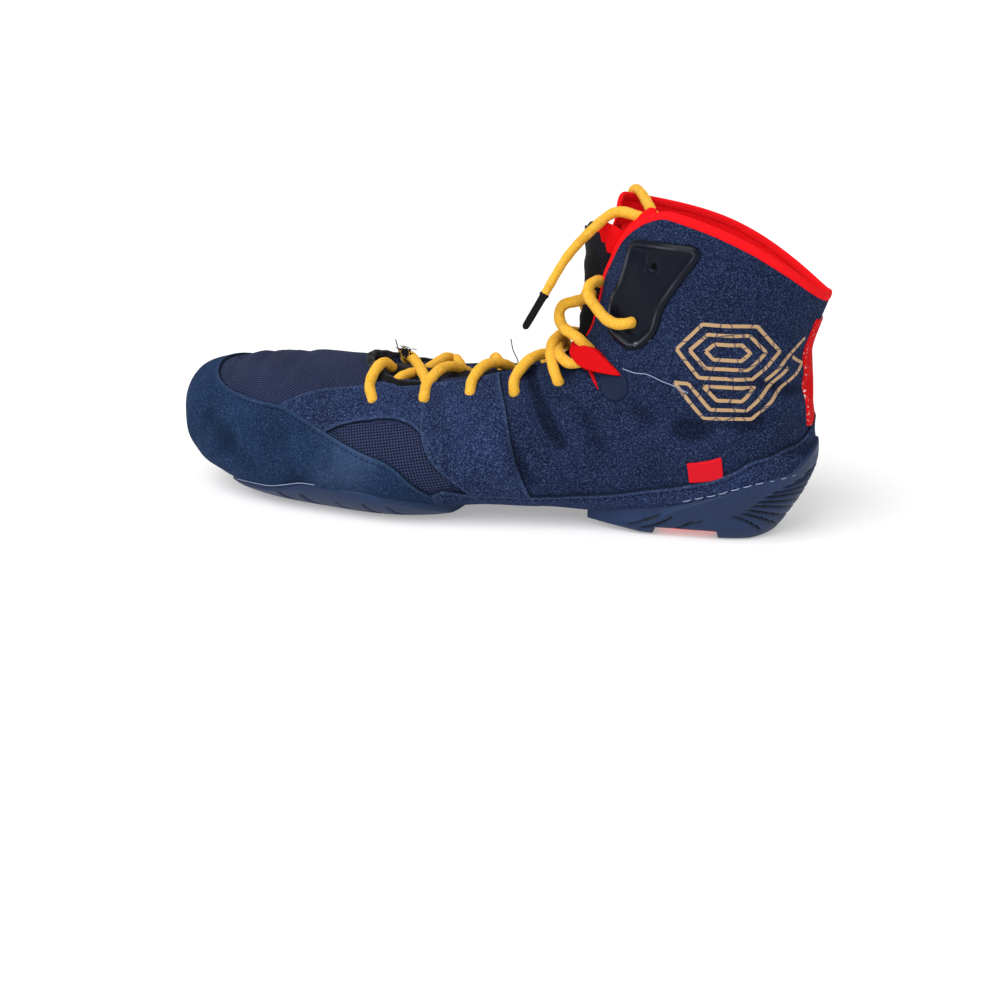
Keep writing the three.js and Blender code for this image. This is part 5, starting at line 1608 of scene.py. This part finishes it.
class SHOE_OT_tongue(bpy.types.Operator):
    """Makes the padded black tongue with its knitted sides and frayed ends"""
    bl_idname = "shoe.tongue"
    bl_label = "Tongue"

    def execute(self, context):
        rows = np.linspace(5.12, 13.0, 150)
        t = np.linspace(-1, 1, 61)
        share = np.sign(t) * np.abs(t) ** 1.25
        s = np.broadcast_to(rows[:, None], (len(rows), len(share)))
        ragged = 0.05 * np.sin(t * 31) * np.sin(t * 13 + 1)
        dome = 0.5 * np.clip((np.abs(share) - 0.04) / 0.3, 0, 1) - 0.28
        s = s + np.clip((s - 12.0) / 1.0, 0, 1) * (ragged * 0.5 + dome)[None]
        x = np.broadcast_to(share[None], s.shape)
        outer, inner = tongue_places(s, x, 0.0), tongue_places(s, x, TONGUE_THICKNESS)
        flat = flat_place(s, x * TONGUE_WIDTH / 2 / girth_at(s))
        grid = wrapped(outer, inner)
        across = np.concatenate([share, share[::-1]])[None]
        up = np.concatenate([s[:1, 0], s[:, 0]])[:, None]
        padded = np.interp(up, [11, 12.4, 13], [0.27, 0.23, 0.21]) + 0.01 * np.sin(up * 9)
        slots = np.where(np.abs(across) > padded, 1, 0)
        lined = np.interp(up, [11.2, 11.8, 12.4, 13], [0.9, 0.5, 0.34, 0.27])
        slots = np.where(np.abs(across) > lined, 2, slots)
        piece = grid_piece("tongue_pad", grid, wrapped_values(flat), None, None, slots, 70)
        piece.data.materials.append(finishes()["tongue"])
        piece.data.materials.append(finishes()["gusset"])
        piece.data.materials.append(finishes()["lining"])
        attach(piece, "root")
        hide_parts("tongue")
        return {"FINISHED"}


# Print, seams and loose threads
def ribbon(name, line, width, height, pitch=0.8):
    """A flat strip on the upper along a line of sections and shares."""
    rough = surface(line[:, 0], line[:, 1])
    walked = np.concatenate([[0], np.cumsum(np.linalg.norm(np.diff(rough, axis=0), axis=1))])
    at = np.linspace(0, walked[-1], max(int(walked[-1] / pitch), 3))
    s, q = np.interp(at, walked, line[:, 0]), np.interp(at, walked, line[:, 1])
    centre, normal = surface(s, q), unit(read(NORMALS, s, q))
    side = unit(np.cross(unit(np.gradient(centre, axis=0)), normal))
    t = np.array([-0.5, -0.46, -0.2, 0.2, 0.46, 0.5])
    rise = np.array([-0.1, height, height, height, height, -0.1])
    outer = centre[:, None] + side[:, None] * (t * width)[None, :, None] + normal[:, None] * rise[None, :, None]
    inner = centre[:, None] + side[:, None] * (t * width)[None, :, None] - normal[:, None] * 0.25
    flat = np.stack(np.broadcast_arrays(at[:, None], (t * width)[None]), -1)
    return grid_piece(name, wrapped(outer, inner), wrapped_values(flat), angle=40)


def stitches(name, line, finish, pitch=None, thickness=0.42, height=0.25, share=0.62):
    """A row of single stitches along a line of sections and shares, as one piece."""
    pitch = size_of("stitch") if pitch is None else pitch
    table = spline(line, 400)
    rough = surface(table[:, 0], table[:, 1])
    walked = np.concatenate([[0], np.cumsum(np.linalg.norm(np.diff(rough, axis=0), axis=1))])
    count = int(walked[-1] / pitch)
    starts = (np.arange(count) + 0.2) * pitch
    turn = np.linspace(0, 2 * math.pi, 7)
    grids = []
    for start in starts:
        at = start + pitch * share * np.array([0, 0.02, 0.25, 0.5, 0.75, 0.98, 1.0])
        s, q = np.interp(at, walked, table[:, 0]), np.interp(at, walked, table[:, 1])
        rise = height + thickness * 0.35 * np.array([-1.6, -1.2, 0.6, 1.0, 0.6, -1.2, -1.6])
        path = surface(s, q, rise)
        radii = thickness / 2 * np.array([0.05, 0.8, 1, 1, 1, 0.8, 0.05])
        _, sides, ups = frames_along(path)
        ring = np.cos(turn)[None, :, None] * sides[:, None] + np.sin(turn)[None, :, None] * ups[:, None]
        grids.append(path[:, None] + radii[:, None, None] * ring)
    pieces = [grid_piece(f"{name}_{k}", grid, None, angle=80) for k, grid in enumerate(grids[:1])]
    first = pieces[0]
    mesh = first.data
    corners, faces, per = [], [], grids[0].shape[0] * grids[0].shape[1]
    rows, columns = grids[0].shape[:2]
    for k, grid in enumerate(grids):
        corners.append(to_row(grid).reshape(-1, 3))
        for i in range(rows - 1):
            for j in range(columns - 1):
                a = k * per + i * columns + j
                faces.append((a, a + 1, a + columns + 1, a + columns))
    mesh.clear_geometry()
    mesh.from_pydata(np.vstack(corners).tolist(), [], faces)
    mesh.update()
    deselect()
    first.select_set(True)
    bpy.context.view_layer.objects.active = first
    bpy.ops.object.mode_set(mode="EDIT")
    bpy.ops.mesh.select_all(action="SELECT")
    bpy.ops.mesh.remove_doubles(threshold=1e-6)
    bpy.ops.mesh.normals_make_consistent(inside=False)
    bpy.ops.object.mode_set(mode="OBJECT")
    bpy.ops.object.shade_smooth()
    first.name = mesh.name = name
    mesh.materials.append(finish)
    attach(first, "root")
    return first


def under_line(points):
    """Sections and shares on the near side under places x, z of the side view near the toe."""
    goal = np.array(points, float)
    s, q = np.meshgrid(np.linspace(2.4, 6.7, 260), np.linspace(-0.98, -0.45, 160), indexing="ij")
    places = surface(s, q, 1.5, worn=False)
    off = (places[..., 0, None] - goal[:, 0]) ** 2 + (places[..., 2, None] - goal[:, 1]) ** 2
    start = off.reshape(-1, len(goal)).argmin(0)
    return [(s.ravel()[k:k + 1], q.ravel()[k:k + 1]) for k in start]


def offset_line(points, shift):
    return [(s, q + shift) for s, q in points]


# A generic motif of nested hexagons over a band, as places along and across its own square in mm
MOTIF_MIDDLE = (252.0, 75.0)
MOTIF = (
    ((-24, 10), (-14, 21), (8, 21), (18, 10), (8, -1), (-14, -1), (-24, 10)),
    ((-18.5, 10), (-11.5, 17), (5.5, 17), (12.5, 10), (5.5, 3), (-11.5, 3), (-18.5, 10)),
    ((-12, 10), (-8.5, 13.2), (2.5, 13.2), (6, 10), (2.5, 6.8), (-8.5, 6.8), (-12, 10)),
    ((-24, -4), (-11, -18), (9, -18), (27, 3), (23, 7)),
    ((-18, -4), (-8.5, -14), (6.5, -14), (21, 3)),
    ((-24, -4), (-18, -4)),
    ((13, -2), (27, 14)),
    ((-12, -4.5), (-6, -10), (4, -10), (9, -4.5), (-12, -4.5)),
)


class SHOE_OT_motif(bpy.types.Operator):
    """Prints a generic line motif in dull gold on both sides"""
    bl_idname = "shoe.motif"
    bl_label = "Motif"

    def execute(self, context):
        strips = []
        for side, word in ((-1, "near"), (1, "far")):
            for k, line in enumerate(MOTIF):
                table = from_side(side, np.array(dense(line)) + MOTIF_MIDDLE)
                strips.append(ribbon(f"motif_{word}_{k}", table, 1.6, 0.14))
        motif = joined("side_motif", strips)
        motif.data.materials.append(finishes()["print"])
        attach(motif, "root")
        return {"FINISHED"}


def dense(line, pitch=1.2):
    points = np.array(line, float)
    out = []
    for a, b in zip(points[:-1], points[1:]):
        count = max(int(np.linalg.norm(b - a) / pitch), 2)
        out += [a + (b - a) * f for f in np.linspace(0, 1, count, endpoint=False)]
    return out + [points[-1]]


# The fuzzy lip round the throat's front, from its outer to its inner side, and its frayed clumps in mm
THROAT_LIP = (
    (6.3, -0.155), (5.9, -0.168), (5.6, -0.14), (5.42, -0.095), (5.31, -0.045), (5.27, 0), (5.31, 0.045),
    (5.42, 0.095), (5.6, 0.14), (5.9, 0.168), (6.3, 0.155),
)
LIP_RADIUS, LIP_HEIGHT = 1.9, 0.7
HAIRS = 70
SMALL_CLUMP, CLUMP = (97.5, -7, 64), (102.6, 3.5, 64.8)
STRAY_HAIRS = (
    ((156.5, -9, 65), (156.5, -8, 67.9), (154.0, -7, 72.4), (152.7, -6, 77)),
    ((100.5, 0, 64), (99.3, 0, 68), (98.6, -1, 71.5)),
)


class SHOE_OT_seams(bpy.types.Operator):
    """Sews the pale and navy stitch rows and leaves the loose threads"""
    bl_idname = "shoe.seams"
    bl_label = "Seams"

    def execute(self, context):
        kit = finishes()
        for side, word in ((-1, "near"), (1, "far")):
            top = mirrored(FOXING_TOP[2:-1], side)
            stitches(f"foxing_stitches_{word}", offset_line(top, side * 0.021), kit["navy_thread"], height=1.05)
            heel = [(9.3, 0.724), (9.55, 0.718), (9.8, 0.719), (10.08, 0.729), (10.4, 0.767), (10.75, 0.838),
                    (11.0, 0.91)]
            stitches(f"heel_stitches_{word}", mirrored(heel, side), kit["thread"], 5.2, 0.5, 1.35, 0.72)
            cap = [(s, side * (q + 0.022)) for s, q in TOE_CAP_TOP[2:13]]
            stitches(f"toe_stitches_{word}", cap, kit["navy_thread"], 2.6, 0.35, 1.05)
        thread = [(10.12, 0.262), (10.3, 0.3), (10.5, 0.335), (10.62, 0.38), (10.72, 0.42), (10.8, 0.462)]
        line = smooth_path(on_upper([(s, -q, 0.35 + 0.25 * (k % 2)) for k, (s, q) in enumerate(thread)]), 0.5)
        places, flat = cord_places(line, 0.22, 8)
        seam = grid_piece("quarter_thread", places, flat, angle=80)
        seam.data.materials.append(kit["thread"])
        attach(seam, "root")
        glue = [(x, z + 0.5) for x, z in FOREFOOT_EDGE[1:7]]
        line = smooth_path([surface(*place, 1.75)[0] for place in under_line(glue)], 0.5)
        places, flat = cord_places(line, 0.2, 8)
        paler = grid_piece("toe_glue_line", places, flat, angle=80)
        paler.data.materials.append(kit["thread"])
        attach(paler, "root")
        line = smooth_path(on_upper([(s, q, LIP_HEIGHT) for s, q in spline(THROAT_LIP, 40)]), 0.8)
        step = np.arange(len(line))
        ends = np.clip(np.minimum(step, len(line) - 1 - step) / 14, 0.15, 1)
        bead = cord_places(line, (LIP_RADIUS + 0.15 * np.sin(step * 0.8)) * ends, 12)
        piping = grid_piece("throat_lip", *bead, angle=80)
        piping.data.materials.append(kit["tongue"])
        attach(piping, "root")
        rng = np.random.default_rng(7)
        hairs = []
        for k in range(HAIRS):
            centre = SMALL_CLUMP if k % 3 == 0 else CLUMP
            base = np.array(centre) + rng.normal(0, 1, 3) * (1.2, 1.8, 0.4)
            lean = np.array([rng.normal(0, 0.8), rng.normal(0, 0.9), 0.5 + rng.random() * 1.5])
            bend = np.array([rng.normal(0, 0.8), rng.normal(0, 0.8), rng.normal(0, 0.4)])
            bent = base + lean + bend
            path = smooth_path([base - (0, 0, 1.5), base + lean * 0.45, bent, bent + bend * 0.9], 0.6)
            hairs.append(grid_piece(f"fray_{k}", cord_places(path, 0.2, 5)[0], None, angle=80))
        for line in STRAY_HAIRS:
            hairs.append(grid_piece("stray", cord_places(smooth_path(line, 0.6), 0.26, 6)[0], None, angle=80))
        fray = joined("frayed_edge", hairs)
        fray.data.materials.append(kit["hair"])
        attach(fray, "root")
        return {"FINISHED"}


STEPS = (
    SHOE_OT_stage, SHOE_OT_lace_ends, SHOE_OT_upper, SHOE_OT_panels, SHOE_OT_soles, SHOE_OT_trim, SHOE_OT_binding,
    SHOE_OT_tongue, SHOE_OT_crossings, SHOE_OT_motif, SHOE_OT_seams,
)


class SHOE_PT_panel(bpy.types.Panel):
    """The shoe's steps and settings"""
    bl_label = "Wrestling shoe"
    bl_idname = "SHOE_PT_panel"
    bl_space_type = "VIEW_3D"
    bl_region_type = "UI"
    bl_category = "Wrestling shoe"

    def draw(self, context):
        for group in (context.scene.shoe_sizes, context.scene.shoe_colours):
            for name in group.__annotations__:
                self.layout.prop(group, name)
        for step in STEPS:
            self.layout.operator(step.bl_idname)


CLASSES = (ShoeSizes, ShoeColours, *STEPS, SHOE_PT_panel)


def register():
    for made in CLASSES:
        bpy.utils.register_class(made)
    bpy.types.Scene.shoe_sizes = PointerProperty(type=ShoeSizes)
    bpy.types.Scene.shoe_colours = PointerProperty(type=ShoeColours)


def unregister():
    del bpy.types.Scene.shoe_sizes, bpy.types.Scene.shoe_colours
    for made in reversed(CLASSES):
        bpy.utils.unregister_class(made)


def main():
    register()
    bpy.ops.shoe.stage()
    bpy.ops.shoe.lace_ends()
    bpy.ops.shoe.upper()
    bpy.ops.shoe.panels()
    bpy.ops.shoe.soles()
    bpy.ops.shoe.trim()
    bpy.ops.shoe.binding()
    bpy.ops.shoe.tongue()
    bpy.ops.shoe.crossings()
    bpy.ops.shoe.motif()
    bpy.ops.shoe.seams()


if __name__ == "__main__":
    main()
